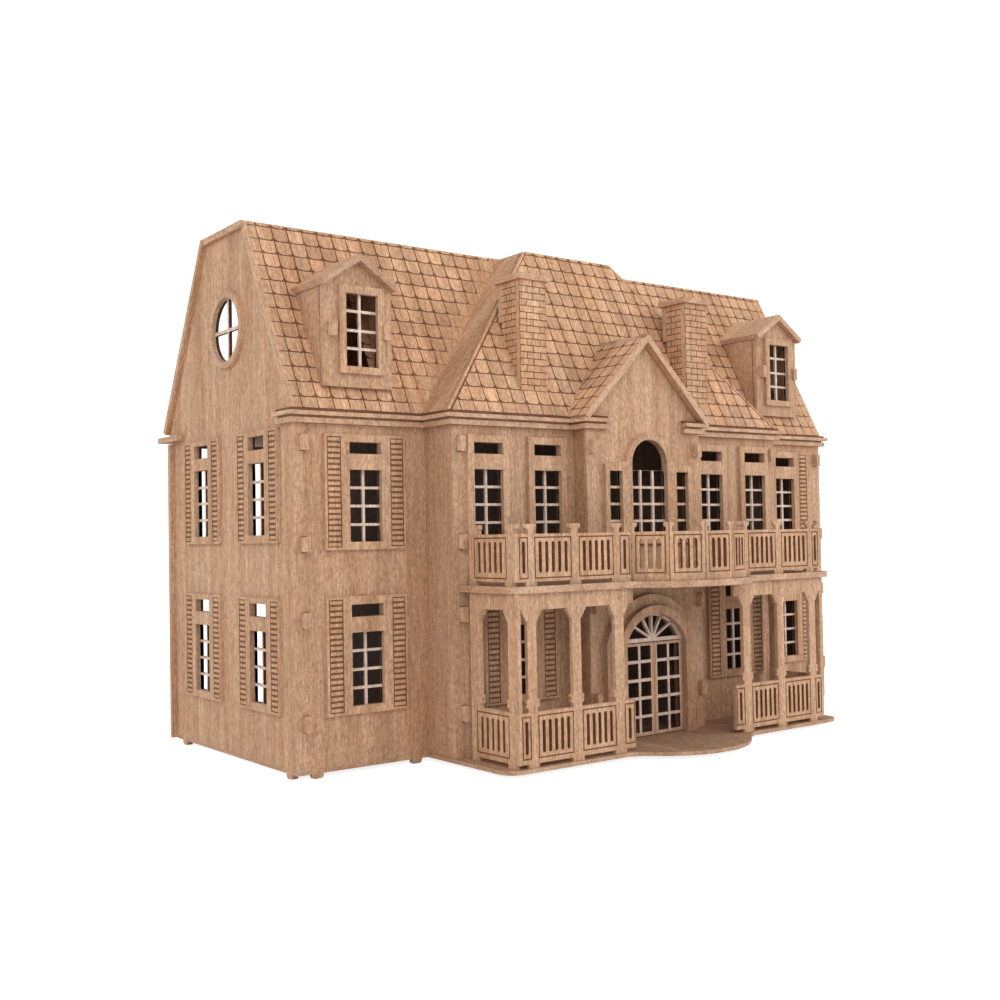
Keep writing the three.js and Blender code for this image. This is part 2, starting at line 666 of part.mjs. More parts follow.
function addPorches() {
  const z0 = BASE_TOP + GAP;
  const top = MID_LOW - GAP;
  const open = [[-94.1, -73.8], [-68.8, -48.5]];
  const lowBays = [[-102.8, -97.8, 1], [-94.1, -73.8, 5], [-68.8, -48.5, 5], [-43.3, -37.4, 1]];
  const gaps = [[-93.5, -74.5], [-68, -49.5]];
  for (const [side_, flip] of [["left", false], ["right", true]]) {
    const points = [[-PORCH_X, z0 + 1.7], [-99.3, z0 + 1.7], [-99.3, z0]];
    for (const [low, high] of gaps) {
      points.push([low, z0], [low, z0 + 1.7], [high, z0 + 1.7], [high, z0]);
    }
    points.push([-36.8, z0], [-36.8, 25.1], [-43, 25.1], ...columnHead(-43, 1), [-36.8, 69], [-36.8, top]);
    points.push([-PORCH_X, top], [-PORCH_X, 69 + GAP], ...columnHead(-99.3, -1).reverse());
    points.push([-99.3, 25.1], [-PORCH_X, 25.1]);
    const cuts = porchBays(open).concat(bayHoles(lowBays, 7.4, 21.5));
    addMesh(`porch_front_${side_}`, porchFront(points, cuts, flip));

    const run = [[CORNER_Y, z0], [-53, z0], [-53, z0 + 1.7], [-32, z0 + 1.7], [-32, z0], [SIDE_END_Y, z0]];
    run.push([SIDE_END_Y, top], [CORNER_Y, top], [CORNER_Y, 69], [PORCH_Y, 69], [PORCH_Y, 25.1 + GAP]);
    run.push([CORNER_Y, 25.1 + GAP]);
    const sideHoles = porchBays([[-54.35, -33.5]]).concat(bayHoles(SIDE_BAYS, 7.4, 21.5));
    addMesh(`porch_side_${side_}`, porchSide(run, sideHoles, flip));
  }
}

// Back frame with one opening for each room
function addBackFrame() {
  const holes = [];
  for (const [low, high] of [[8, 72], [84, 150.5]]) {
    for (const [from, to] of [[-165, -115], [-99, -45], [-29, 29], [45, 99], [115, 165]]) {
      holes.push(rect(from, low, to, high));
    }
  }
  addMesh("back_frame", front(rect(-180.6, 0, 180.6, WALL_TOP), holes, BACK_Y), DARK);
}

// Roof boards: each is a slab between two parallel planes with level upper and lower edges
const frontLine = (footY, z) => footY + (z - EAVE) * FRONT_RUN;

function slab(corners, shift) {
  return hull([...corners, ...corners.map(([x, y, z]) => [x + shift[0], y + shift[1], z + shift[2]])]);
}

function addRoof() {
  const top = ROOF_TOP - T - GAP;
  const inset = T / Math.sin(Math.atan(1 / FRONT_RUN));
  const backInset = T / Math.sin(Math.atan(1 / BACK_RUN));
  const slantX = (z, foot, head) => foot + ((head - foot) * (z - EAVE)) / (ROOF_TOP - EAVE);

  for (const [side_, sign] of [["left", -1], ["right", 1]]) {
    const corners = [
      [sign * ROOF_X, frontLine(WING_FOOT_Y, EAVE), EAVE],
      [sign * slantX(EAVE, 109, 27), frontLine(WING_FOOT_Y, EAVE), EAVE],
      [sign * slantX(top, 109, 27), frontLine(WING_FOOT_Y, top), top],
      [sign * ROOF_X, frontLine(WING_FOOT_Y, top), top],
    ];
    const hatch = slab([
      [sign * (DORMER_X - 14), -8, 172], [sign * (DORMER_X + 14), -8, 172],
      [sign * (DORMER_X + 14), -8, 210], [sign * (DORMER_X - 14), -8, 210],
    ], [0, 60, 0]);
    addMesh(`wing_roof_${side_}`, cut(slab(corners, [0, inset, 0]), [hatch]), DARK);

    const strip = [
      [sign * slantX(EAVE, BUMP_FOOT_X, BUMP_TOP_X), BUMP_FOOT_Y + inset + 0.3, EAVE],
      [sign * slantX(EAVE, BUMP_FOOT_X, BUMP_TOP_X), WING_FOOT_Y - 0.3, EAVE],
      [sign * slantX(top, BUMP_FOOT_X, BUMP_TOP_X), frontLine(WING_FOOT_Y, top) - 0.3, top],
      [sign * slantX(top, BUMP_FOOT_X, BUMP_TOP_X), frontLine(BUMP_FOOT_Y, top) + inset + 0.3, top],
    ];
    addMesh(`centre_roof_side_${side_}`, slab(strip, [-sign * 4, 0, 0]));
  }

  const bump = [
    [-BUMP_FOOT_X, BUMP_FOOT_Y, EAVE], [BUMP_FOOT_X, BUMP_FOOT_Y, EAVE],
    [slantX(top, BUMP_FOOT_X, BUMP_TOP_X), frontLine(BUMP_FOOT_Y, top), top],
    [-slantX(top, BUMP_FOOT_X, BUMP_TOP_X), frontLine(BUMP_FOOT_Y, top), top],
  ];
  addMesh("centre_roof_front", slab(bump, [0, inset, 0]), DARK);

  const back = [
    [-180.6, BACK_FOOT_Y, EAVE], [180.6, BACK_FOOT_Y, EAVE],
    [180.6, BACK_FOOT_Y - (top - EAVE) * BACK_RUN, top], [-180.6, BACK_FOOT_Y - (top - EAVE) * BACK_RUN, top],
  ];
  const { from, to, low, high } = ATTIC_DOOR;
  const attics = [box(-to, 60, low, -from, 150, high), box(from, 60, low, to, 150, high)];
  addMesh("roof_back", cut(slab(back, [0, -backInset, 0]), attics), DARK);

  const frontEdge = frontLine(WING_FOOT_Y, ROOF_TOP);
  const bumpEdge = frontLine(BUMP_FOOT_Y, ROOF_TOP);
  const backEdge = BACK_FOOT_Y - (ROOF_TOP - EAVE) * BACK_RUN;
  const plan = [[BUMP_TOP_X, bumpEdge], [BUMP_TOP_X, frontEdge], [ROOF_X, frontEdge], [ROOF_X, backEdge]];
  addMesh("roof_top", level(symmetric(plan), [], ROOF_TOP - T), DARK);
}

function addCentreGable() {
  const apex = 200.8;
  const foot = 158.5;
  const halfSpan = apex - foot;
  const drop = T * Math.SQRT2;
  const y0 = -37;
  const yAt = (z) => frontLine(BUMP_FOOT_Y, z) - 0.3;
  for (const [side_, sign] of [["left", -1], ["right", 1]]) {
    const near = sign * 0.1;
    const points = [];
    for (const [x, z] of [[sign * halfSpan, foot], [near, apex - 0.1], [sign * (halfSpan - drop), foot],
      [near, apex - drop - 0.1]]) {
      points.push([x, y0, z], [x, yAt(z), z]);
    }
    addMesh(`centre_gable_roof_${side_}`, hull(points), DARK);
  }
}

// Everything above the plane of a front slope, as a cutter for what lies below it
function belowSlope(footY) {
  return hull([
    [-250, frontLine(footY, 100) - 0.3, 100], [250, frontLine(footY, 100) - 0.3, 100],
    [-250, frontLine(footY, 280) - 0.3, 280], [250, frontLine(footY, 280) - 0.3, 280],
    [-250, 300, 100], [250, 300, 100], [-250, 300, 280], [250, 300, 280],
  ]);
}

function addDormers() {
  const rise = (226.4 - 217) / 17.85;
  for (const [side_, sign] of [["left", -1], ["right", 1]]) {
    const c = sign * DORMER_X;
    const wall = [[c - 17.85, DORMER_Z], [c + 17.85, DORMER_Z], [c + 17.85, 216.4], [c, 225.8], [c - 17.85, 216.4]];
    const middle = DORMER_WINDOW_X[side_];
    const holes = panes(middle - 8.3, middle + 8.3, [178.7, 187.1, 195.3, 204.1, 211.8], 2);
    const layers = [front(wall, holes, DORMER_Y)];
    const trim = rect(middle - 11.65, 175.5, middle + 11.65, 215.5);
    layers.push(front(trim, [rect(middle - 8.3, 178.7, middle + 8.3, 211.8)], DORMER_Y - TRIM_T, TRIM_T + 1));
    layers.push(box(c - 17.85, DORMER_Y + 2.6, 160, c - 14.85, 40, 216.4));
    layers.push(box(c + 14.85, DORMER_Y + 2.6, 160, c + 17.85, 40, 216.4));
    addMesh(`dormer_box_${side_}`, cut(join(layers), [belowSlope(WING_FOOT_Y)]));

    const cap = [[c - 20, 216.9], [c - 20, 215.9 + rise * 2], [c, 230], [c + 20, 215.9 + rise * 2]];
    cap.push([c + 20, 216.9], [c + 17.85, 216.9], [c, 226.3], [c - 17.85, 216.9]);
    const roof = front([...cap].reverse(), [], DORMER_Y - T - 0.5, 60);
    addMesh(`dormer_roof_${side_}`, cut(roof, [belowSlope(WING_FOOT_Y)]), DARK);
  }
}

function addChimneys() {
  for (const [side_, sign] of [["left", -1], ["right", 1]]) {
    const c = sign * CHIMNEY_X;
    const shaft = box(c - 8.2, -16, 160, c + 8.2, 1.5, 225);
    const flue = box(c - 5.2, -13, 150, c + 5.2, -1.5, 222);
    const cap = box(c - 9.6, -17.4, 224.5, c + 9.6, 2.9, 227.8);
    addMesh(`chimney_${side_}`, cut(join([shaft, cap]), [flue, belowSlope(BUMP_FOOT_Y)]));
  }
}

addBase();
addMidFloor();
addCornices();
addGable("gable_wall_left", "side_frame_left", -1, GABLE_CENTRES);
addGable("gable_wall_right", "side_frame_right", 1, GABLE_CENTRES.slice(1));
addWingFront("left", false);
addWingFront("right", true);
addReturn("return_wall_left", -1);
addReturn("return_wall_right", 1);
for (const [side_, sign] of [["left", -1], ["right", 1]]) {
  addFrontWall(side_, sign > 0);
  addPartition(side_, sign, PARTITION_X, STEP_Y, "partition", 103);
  addPartition(side_, sign, CORE_X, CENTRE_Y, "centre_partition", 103);
}
addCentreWalls();
addDoorway();
addLeaf("door_leaf_left", -1);
addLeaf("door_leaf_right", 1);
addBalconies();
addPorches();
addBackFrame();
addRoof();
addCentreGable();
addDormers();
addChimneys();

// The origin is under the middle of the whole house, at the level of the tips of its feet
house.position.set(0, -(BACK_Y + T + 10 - 83.4) / 2, FOOT_DROP);
const group = new THREE.Group();
group.add(house);

export default group;
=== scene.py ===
"""A laser-cut plywood dollhouse: engraved boards, tiles, bricks, louvres and glazing bars on the CAD frame.

Lengths in this script are millimetres in the house's own frame: X from the middle towards the right wing,
Y from the wing fronts towards the back, Z up from 0.4 mm above the underside of the base plate. Each board is
drawn flat, as outlines on its own plane, and then set in place.
"""
import math
import random

import bpy
from mathutils import Matrix, Vector
from mathutils.geometry import delaunay_2d_cdt


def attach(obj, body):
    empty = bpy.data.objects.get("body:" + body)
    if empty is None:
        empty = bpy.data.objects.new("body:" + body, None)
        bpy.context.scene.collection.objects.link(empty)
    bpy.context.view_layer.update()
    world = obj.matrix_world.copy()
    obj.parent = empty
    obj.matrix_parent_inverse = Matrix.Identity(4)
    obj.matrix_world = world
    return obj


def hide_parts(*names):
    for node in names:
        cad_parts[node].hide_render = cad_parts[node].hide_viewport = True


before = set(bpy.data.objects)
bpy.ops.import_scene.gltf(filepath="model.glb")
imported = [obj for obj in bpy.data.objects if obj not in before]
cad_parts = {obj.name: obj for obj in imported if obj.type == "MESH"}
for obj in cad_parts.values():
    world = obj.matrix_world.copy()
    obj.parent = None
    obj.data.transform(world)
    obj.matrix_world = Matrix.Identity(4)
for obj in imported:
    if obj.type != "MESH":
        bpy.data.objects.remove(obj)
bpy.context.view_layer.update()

# ---------------------------------------------------------------- dimensions

BOARD = 3.0
SHEET = 2.1
TRIM = 1.9
RAIL = 2.0
BASE = 1.8
ENGRAVED = 0.3
SLOT_AREA = 50.0
LINE = 0.6
SHIFT_Y = 31.6
SHIFT_Z = 2.6

BASE_TOP = 1.4
MID_LOW = 76.3
MID_TOP = 79.3
WALL_TOP = 152.0
ATTIC_TOP = 158.0
EAVE = 158.3
ROOF_FOOT = 158.9
ROOF_TOP = 250.4

WING_X = 178.0
STEP_X = 110.0
CENTRE_X = 38.6
CORE_X = 37.3
ROOF_X = 179.0
BACK_X = 180.6
DORMER_X = 143.5
CHIMNEY_X = 56.4
STEP_Y = -21.9
CENTRE_Y = -32.7
BACK_Y = 133.6
PORCH_Y = -61.0
DECK_Y = -63.2
BACK_FOOT_Y = 143.0
TAB_OUT = 3.4
TABS = ((18, 25), (62.7, 69.5), (95.7, 102.4), (140, 146.9))

FRONT_RUN = 1 / 1.985
BACK_RUN = 51.5 / 91.7
WING_FOOT_Y = -0.65 + (ROOF_FOOT - EAVE) * FRONT_RUN
BUMP_FOOT_Y = -22.6 + (ROOF_FOOT - EAVE) * FRONT_RUN
SLOPE = math.hypot(1, FRONT_RUN)
TILE = 8.0

FACE, EDGE, CHAR = 0, 1, 2
X_AXIS = Vector((1, 0, 0))
Y_AXIS = Vector((0, 1, 0))
Z_AXIS = Vector((0, 0, 1))

rng = random.Random(7)


# ---------------------------------------------------------------- flat shapes

def rect(x0, z0, x1, z1):
    return [(x0, z0), (x1, z0), (x1, z1), (x0, z1)]


def round_rect(x0, z0, x1, z1, r, steps=4):
    points = []
    corners = ((x1 - r, z0 + r, -90), (x1 - r, z1 - r, 0), (x0 + r, z1 - r, 90), (x0 + r, z0 + r, 180))
    for cx, cz, start in corners:
        for i in range(steps + 1):
            angle = math.radians(start + 90 * i / steps)
            points.append((cx + r * math.cos(angle), cz + r * math.sin(angle)))
    return points


def disc(cx, cz, r, steps=48):
    turns = [2 * math.pi * i / steps for i in range(steps)]
    return [(cx + r * math.cos(t), cz + r * math.sin(t)) for t in turns]


def arch_curve(half, r, cz, steps=28):
    """Points over an arch of radius r about height cz, from its right springing to its left one."""
    start = math.acos(min(1, half / r))
    turns = [start + (math.pi - 2 * start) * i / steps for i in range(steps + 1)]
    return [(r * math.cos(t), cz + r * math.sin(t)) for t in turns]


def arched(half, low, r, cz):
    return [(-half, low), (half, low)] + arch_curve(half, r, cz)


def mirror(points):
    return [(-a, b) for a, b in reversed(points)]


def ring(x0, z0, x1, z1, width=LINE):
    """An engraved rectangle: its outer and inner outlines."""
    return [rect(x0, z0, x1, z1), rect(x0 + width, z0 + width, x1 - width, z1 - width)]


def clip(polygon, region):
    """The part of a polygon inside a convex, anticlockwise region."""
    output = polygon
    for i, start in enumerate(region):
        end = region[(i + 1) % len(region)]
        edge = (end[0] - start[0], end[1] - start[1])
        source, output = output, []
        for j, point in enumerate(source):
            before = source[j - 1]
            side = edge[0] * (point[1] - start[1]) - edge[1] * (point[0] - start[0])
            side_before = edge[0] * (before[1] - start[1]) - edge[1] * (before[0] - start[0])
            if (side >= 0) != (side_before >= 0):
                t = side_before / (side_before - side)
                crossing = tuple(before[k] + t * (point[k] - before[k]) for k in (0, 1))
                output.append(crossing)
            if side >= 0:
                output.append(point)
        if not output:
            return []
    return output


def area(polygon):
    pairs = zip(polygon, polygon[1:] + polygon[:1])
    return sum(a[0] * b[1] - b[0] * a[1] for a, b in pairs) / 2


# ---------------------------------------------------------------- materials

def node(tree, kind, **values):
    made = tree.nodes.new(kind)
    for key, value in values.items():
        setattr(made, key, value)
    return made


def streaks(tree, source, scale, detail, rough=0.6):
    """Noise stretched along the grain, with scale = repeats per millimetre across, along and through."""
    mapping = node(tree, "ShaderNodeMapping")
    mapping.inputs["Scale"].default_value = scale
    tree.links.new(source, mapping.inputs["Vector"])
    noise = node(tree, "ShaderNodeTexNoise")
    noise.inputs["Scale"].default_value = 1
    noise.inputs["Detail"].default_value = detail
    noise.inputs["Roughness"].default_value = rough
    tree.links.new(mapping.outputs["Vector"], noise.inputs["Vector"])
    return noise.outputs["Fac"]


def ramp(tree, source, stops):
    made = node(tree, "ShaderNodeValToRGB")
    elements = made.color_ramp.elements
    while len(elements) < len(stops):
        elements.new(0.5)
    for element, (position, colour) in zip(elements, stops):
        element.position = position
        element.color = (*colour, 1)
    tree.links.new(source, made.inputs["Fac"])
    return made.outputs["Color"]


def mix(tree, kind, factor, first, second):
    made = node(tree, "ShaderNodeMix", data_type="RGBA", blend_type=kind)
    for value, socket in ((factor, made.inputs[0]), (first, made.inputs[6]), (second, made.inputs[7])):
        if isinstance(value, bpy.types.NodeSocket):
            tree.links.new(value, socket)
        else:
            socket.default_value = value
    return made.outputs[2]


def grey(value):
    return (value, value, value)


def ply(name, pale, deep, roughness=0.62, pores=0.5, patches=0.35):
    """Plywood veneer: long soft bands, fine streaks, short dark pores and a tone for each board."""
    material = bpy.data.materials.new(name)
    material.use_nodes = True
    tree = material.node_tree
    shader = tree.nodes["Principled BSDF"]
    grain = node(tree, "ShaderNodeAttribute", attribute_name="grain").outputs["Vector"]
    tone = node(tree, "ShaderNodeAttribute", attribute_name="tone").outputs["Fac"]

    bands = streaks(tree, grain, (0.16, 0.006, 0.16), 3)
    colour = ramp(tree, bands, ((0.3, deep), (0.68, pale)))
    fine = streaks(tree, grain, (1.5, 0.05, 1.5), 4, 0.7)
    colour = mix(tree, "MULTIPLY", 0.8, colour, ramp(tree, fine, ((0.3, grey(0.72)), (0.62, grey(1.1)))))
    warm = streaks(tree, grain, (0.06, 0.012, 0.06), 2)
    warmth = ramp(tree, warm, ((0.35, (1.0, 0.86, 0.72)), (0.65, (1, 1, 1))))
    colour = mix(tree, "MULTIPLY", patches, colour, warmth)
    pore = streaks(tree, grain, (1.3, 0.12, 1.3), 3, 0.6)
    colour = mix(tree, "MULTIPLY", pores, colour, ramp(tree, pore, ((0.32, grey(0.5)), (0.5, grey(1.03)))))
    speck = streaks(tree, grain, (0.95, 0.45, 0.95), 3, 0.75)
    colour = mix(tree, "MULTIPLY", 1.0, colour, ramp(tree, speck, ((0.3, grey(0.66)), (0.68, grey(1.26)))))
    shade = ramp(tree, tone, ((0.0, grey(0.6)), (1.0, (1.4, 1.38, 1.36))))
    colour = mix(tree, "MULTIPLY", 1.0, colour, shade)
    tree.links.new(colour, shader.inputs["Base Color"])

    bump = node(tree, "ShaderNodeBump")
    bump.inputs["Strength"].default_value = 0.35
    bump.inputs["Distance"].default_value = 0.00012
    tree.links.new(fine, bump.inputs["Height"])
    tree.links.new(bump.outputs["Normal"], shader.inputs["Normal"])
    shader.inputs["Roughness"].default_value = roughness
    shader.inputs["Specular IOR Level"].default_value = 0.28
    return material


PALE = (0.64, 0.41, 0.262)
DEEP = (0.46, 0.268, 0.158)
wall_face = ply("wall_veneer", PALE, DEEP)
roof_face = ply("roof_veneer", (0.70, 0.44, 0.275), (0.49, 0.28, 0.16), patches=0.6)
floor_face = ply("floor_veneer", (0.52, 0.33, 0.21), (0.36, 0.21, 0.13))
door_face = ply("door_veneer", (0.60, 0.375, 0.245), (0.44, 0.26, 0.16))
bar_face = ply("bar_veneer", (0.74, 0.59, 0.50), (0.62, 0.47, 0.39), pores=0.15, patches=0.1)
cut_edge = ply("cut_edge", (0.66, 0.44, 0.30), (0.46, 0.275, 0.17), pores=0.3)
# Dark laser-engraved lines and grooves; also used as painted shadow for the band under the eaves.
char_and_shade = ply("char_and_shade_line", (0.27, 0.125, 0.06), (0.18, 0.078, 0.036), roughness=0.85, patches=0.1)
# Near-black edges: painted shade on the sides of glazing bars and door grids, on the deeper gable window
# reveals and round the inside doorways.
shade_edge = ply("painted_shade_edge", (0.16, 0.07, 0.03), (0.09, 0.038, 0.016), roughness=0.85, patches=0.1)
# Dark veneer for the insides of the rooms: painted shade standing in for the dim interior seen through the
# windows.
shaded_inner_face = ply("painted_shade_veneer", (0.26, 0.16, 0.10), (0.17, 0.10, 0.062))


# ---------------------------------------------------------------- boards

class Board:
    """Plates on one plane, joined into one mesh: a runs along u, b along v and d outwards."""

    def __init__(self, origin, u, v, tone=0.5, back=FACE):
        self.origin = Vector(origin)
        self.u = Vector(u)
        self.v = Vector(v)
        self.w = self.u.cross(self.v)
        self.tone = tone
        self.back = back
        self.seed = Vector((rng.uniform(0, 900), rng.uniform(0, 900), rng.uniform(0, 90)))
        self.points = []
        self.grains = []
        self.tones = []
        self.faces = []
        self.slots = []

    def place(self, a, b, d, tone):
        point = self.origin + self.u * a + self.v * b + self.w * d
        self.points.append((point.x / 1000, (point.y - SHIFT_Y) / 1000, (point.z + SHIFT_Z) / 1000))
        self.grains.append(self.seed + Vector((a, b, d)))
        self.tones.append(tone)
        return len(self.points) - 1

    def face(self, corners, slot):
        self.faces.append(corners)
        self.slots.append(slot)

    def plate(self, loops, low=-BOARD, high=0.0, top=FACE, side=EDGE, tone=None, charred=()):
        """A plate between two depths. Loops nest as outline, hole, island; charred ones are engraved."""
        tone = self.tone if tone is None else tone
        flat, edges, polygons = [], [], []
        for loop in loops:
            base = len(flat)
            count = len(loop)
            flat += [Vector(point) for point in loop]
            edges += [(base + i, base + (i + 1) % count) for i in range(count)]
            polygons.append(list(range(base, base + count)))
        verts, _, triangles, origins, _, _ = delaunay_2d_cdt(flat, edges, polygons, 2, 1e-5)
        made = {}
        for index, sources in enumerate(origins):
            for source in sources:
                made[source] = index
        lower = [self.place(p[0], p[1], low, tone) for p in verts]
        upper = [self.place(p[0], p[1], high, tone) for p in verts]
        for triangle in triangles:
            self.face([upper[i] for i in triangle], top)
            self.face([lower[i] for i in reversed(triangle)], self.back)
        for number, (loop, polygon) in enumerate(zip(loops, polygons)):
            hole = area(loop) < 0
            depth = sum(1 for other in loops if other is not loop and inside(loop[0], other))
            outward = (depth % 2 == 0) != hole
            slot = CHAR if number in charred else side
            for i, source in enumerate(polygon):
                first = made[source]
                second = made[polygon[(i + 1) % len(polygon)]]
                if first == second:
                    continue
                corners = [lower[first], lower[second], upper[second], upper[first]]
                self.face(corners if outward else corners[::-1], slot)

    def tiles(self, polygons, low=-ENGRAVED, high=0.0, spread=0.17, side=CHAR):
        """Small convex plates standing on an engraved ground, each with its own tone."""
        for polygon in polygons:
            if len(polygon) < 3 or abs(area(polygon)) < 0.6:
                continue
            if area(polygon) < 0:
                polygon = polygon[::-1]
            tone = self.tone + rng.uniform(-spread, spread)
            lower = [self.place(a, b, low, tone) for a, b in polygon]
            upper = [self.place(a, b, high, tone) for a, b in polygon]
            count = len(polygon)
            self.face(upper, FACE)
            self.face(lower[::-1], CHAR)
            for i in range(count):
                j = (i + 1) % count
                self.face([lower[i], lower[j], upper[j], upper[i]], side)

    def engraved(self, outline, holes=(), lines=(), low=-BOARD):
        """A full board with charred slots, whose line shapes are cut through its top skin only."""
        loops = [outline, *holes]
        slots = [number for number, loop in enumerate(loops) if abs(area(loop)) < SLOT_AREA]
        self.plate(loops, low, -ENGRAVED, top=CHAR, charred=slots)
        charred = [*slots, *range(len(loops), len(loops) + len(lines))]
        self.plate([*loops, *lines], -ENGRAVED, 0.0, charred=charred)

    def build(self, name, materials, body="house", replaces=(), slot=None):
        mesh = bpy.data.meshes.new(name)
        mesh.from_pydata(self.points, [], self.faces)
        for material in materials:
            mesh.materials.append(material)
        mesh.polygons.foreach_set("material_index", self.slots)
        grain = mesh.attributes.new("grain", "FLOAT_VECTOR", "POINT")
        grain.data.foreach_set("vector", [value for point in self.grains for value in point])
        tone = mesh.attributes.new("tone", "FLOAT", "POINT")
        tone.data.foreach_set("value", self.tones)
        mesh.validate()
        mesh.update()
        piece = bpy.data.objects.new(name, mesh)
        bpy.context.scene.collection.objects.link(piece)
        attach(piece, body)
        if replaces:
            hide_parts(*replaces)
        return piece


def inside(point, polygon):
    x, y = point
    result = False
    for (ax, ay), (bx, by) in zip(polygon, polygon[1:] + polygon[:1]):
        if (ay > y) != (by > y) and x < ax + (y - ay) * (bx - ax) / (by - ay):
            result = not result
    return result


WALL = (wall_face, cut_edge, char_and_shade)
GABLE = (wall_face, cut_edge, shade_edge)
ROOF = (roof_face, cut_edge, char_and_shade)
FLOOR = (floor_face, cut_edge, char_and_shade)
DOOR = (door_face, cut_edge, char_and_shade)
BARS = (bar_face, bar_face, char_and_shade)
# Glazing bar sides take the near-black edge: painted shade.
GRIDS = (bar_face, shade_edge, char_and_shade)
RAILS = (wall_face, cut_edge, char_and_shade)
# Inside boards: dark painted-shade faces with near-black painted-shade edges.
SHADED_INNER = (shaded_inner_face, shade_edge, char_and_shade)


def front_at(y, tone=0.5):
    return Board((0, y, 0), X_AXIS, Z_AXIS, tone)


def back_at(y, tone=0.5):
    return Board((0, y, 0), -X_AXIS, Z_AXIS, tone)


def side_at(x, sign, tone=0.5):
    """A board facing sideways; its outlines use a = sign * y."""
    return Board((x, 0, 0), Y_AXIS * sign, Z_AXIS, tone)


def level_at(z, tone=0.5):
    return Board((0, 0, z), X_AXIS, Y_AXIS, tone)


def turned(points, sign):
    """(y, z) points as (a, b) on a board that faces sign * X."""
    return points if sign > 0 else mirror(points)


def all_turned(loops, sign):
    return [turned(loop, sign) for loop in loops]


def flipped(points, flip):
    return mirror(points) if flip else points


def all_flipped(loops, flip):
    return [flipped(loop, flip) for loop in loops]


# ---------------------------------------------------------------- windows

HALF_PANE = 8.25
UPPER = {"main": (99.8, 132), "bars": (107.5, 115.8, 124), "transom": (139.1, 144.4), "trim": (96.3, 147.8)}
LOWER = {"main": (27.1, 59.6), "bars": (34.8, 42.9, 51.3), "transom": (66.4, 72), "trim": (23.6, 75.6)}
GABLE_HIGH = {"main": (103.5, 136.3), "bars": (111.7, 119.9, 127.9), "transom": (142.2, 148.6),
              "trim": (99.9, 151)}
GABLE_LOW = {"main": (27.7, 60.2), "bars": (35.4, 43.5, 51.7), "transom": (66.6, 72.6), "trim": (24.2, 75.3)}


def window_openings(centre, window):
    openings = []
    for low, high in (window["main"], window["transom"]):
        openings.append(rect(centre - HALF_PANE, low, centre + HALF_PANE, high))
    return openings


def sash(board, centre, half, low, high, bars, columns, front=-0.6, depth=1.2, width=1.2):
    """Glazing bars as one thin grid whose ends reach the sides of the opening."""
    loops = [rect(centre - half - 0.05, low - 0.05, centre + half + 0.05, high + 0.05)]
    edges = [low, *bars, high]
    pane = (2 * half - width * (columns - 1)) / columns
    for c in range(columns):
        left = centre - half + c * (pane + width)
        for r in range(len(edges) - 1):
            bottom = edges[r] + (0 if r == 0 else width / 2)
            top = edges[r + 1] - (0 if r + 2 == len(edges) else width / 2)
            loops.append(rect(left, bottom, left + pane, top))
    board.plate(loops, front - depth, front)


def shutter_slats(x0, z0, x1, z1, count=20):
    pitch = (z1 - z0) / count
    half = 0.5
    slats = []
    for i in range(count):
        low, high = z0 + i * pitch + half, z0 + (i + 1) * pitch - half
        slats.append(rect(x0 + half, low, x1 - half, high))
    return slats


def add_trim(name, board, centre, half, window, shutters, slot="wall_ply"):
    """The board round a window, with engraved louvred shutters where it has them."""
    outline = rect(centre - half, window["trim"][0], centre + half, window["trim"][1])
    holes = window_openings(centre, window)
    areas = [rect(*shutter) for shutter in shutters]
    board.plate([outline, *holes], -TRIM - 0.02, -ENGRAVED, top=CHAR)
    charred = range(1 + len(holes), 1 + len(holes) + len(areas))
    board.plate([outline, *holes, *areas], -ENGRAVED, 0.0, charred=charred)
    for shutter in shutters:
        board.tiles(shutter_slats(*shutter), high=-0.05, spread=0.06)
    board.build(name, WALL, slot=slot)


# ---------------------------------------------------------------- floors

BOW = ((-37.0, PORCH_Y), (-26.0, -74.5), (-9.0, -81.0), (9.0, -81.0), (26.0, -74.5), (37.0, PORCH_Y))


def rounded_front(x, y, r):
    turns = [-math.pi / 2 + math.pi / 2 * i / 8 for i in range(9)]
    return [(x - r + r * math.cos(t), y + r + r * math.sin(t)) for t in turns]


def both_sides(right_half):
    return right_half + mirror(right_half)


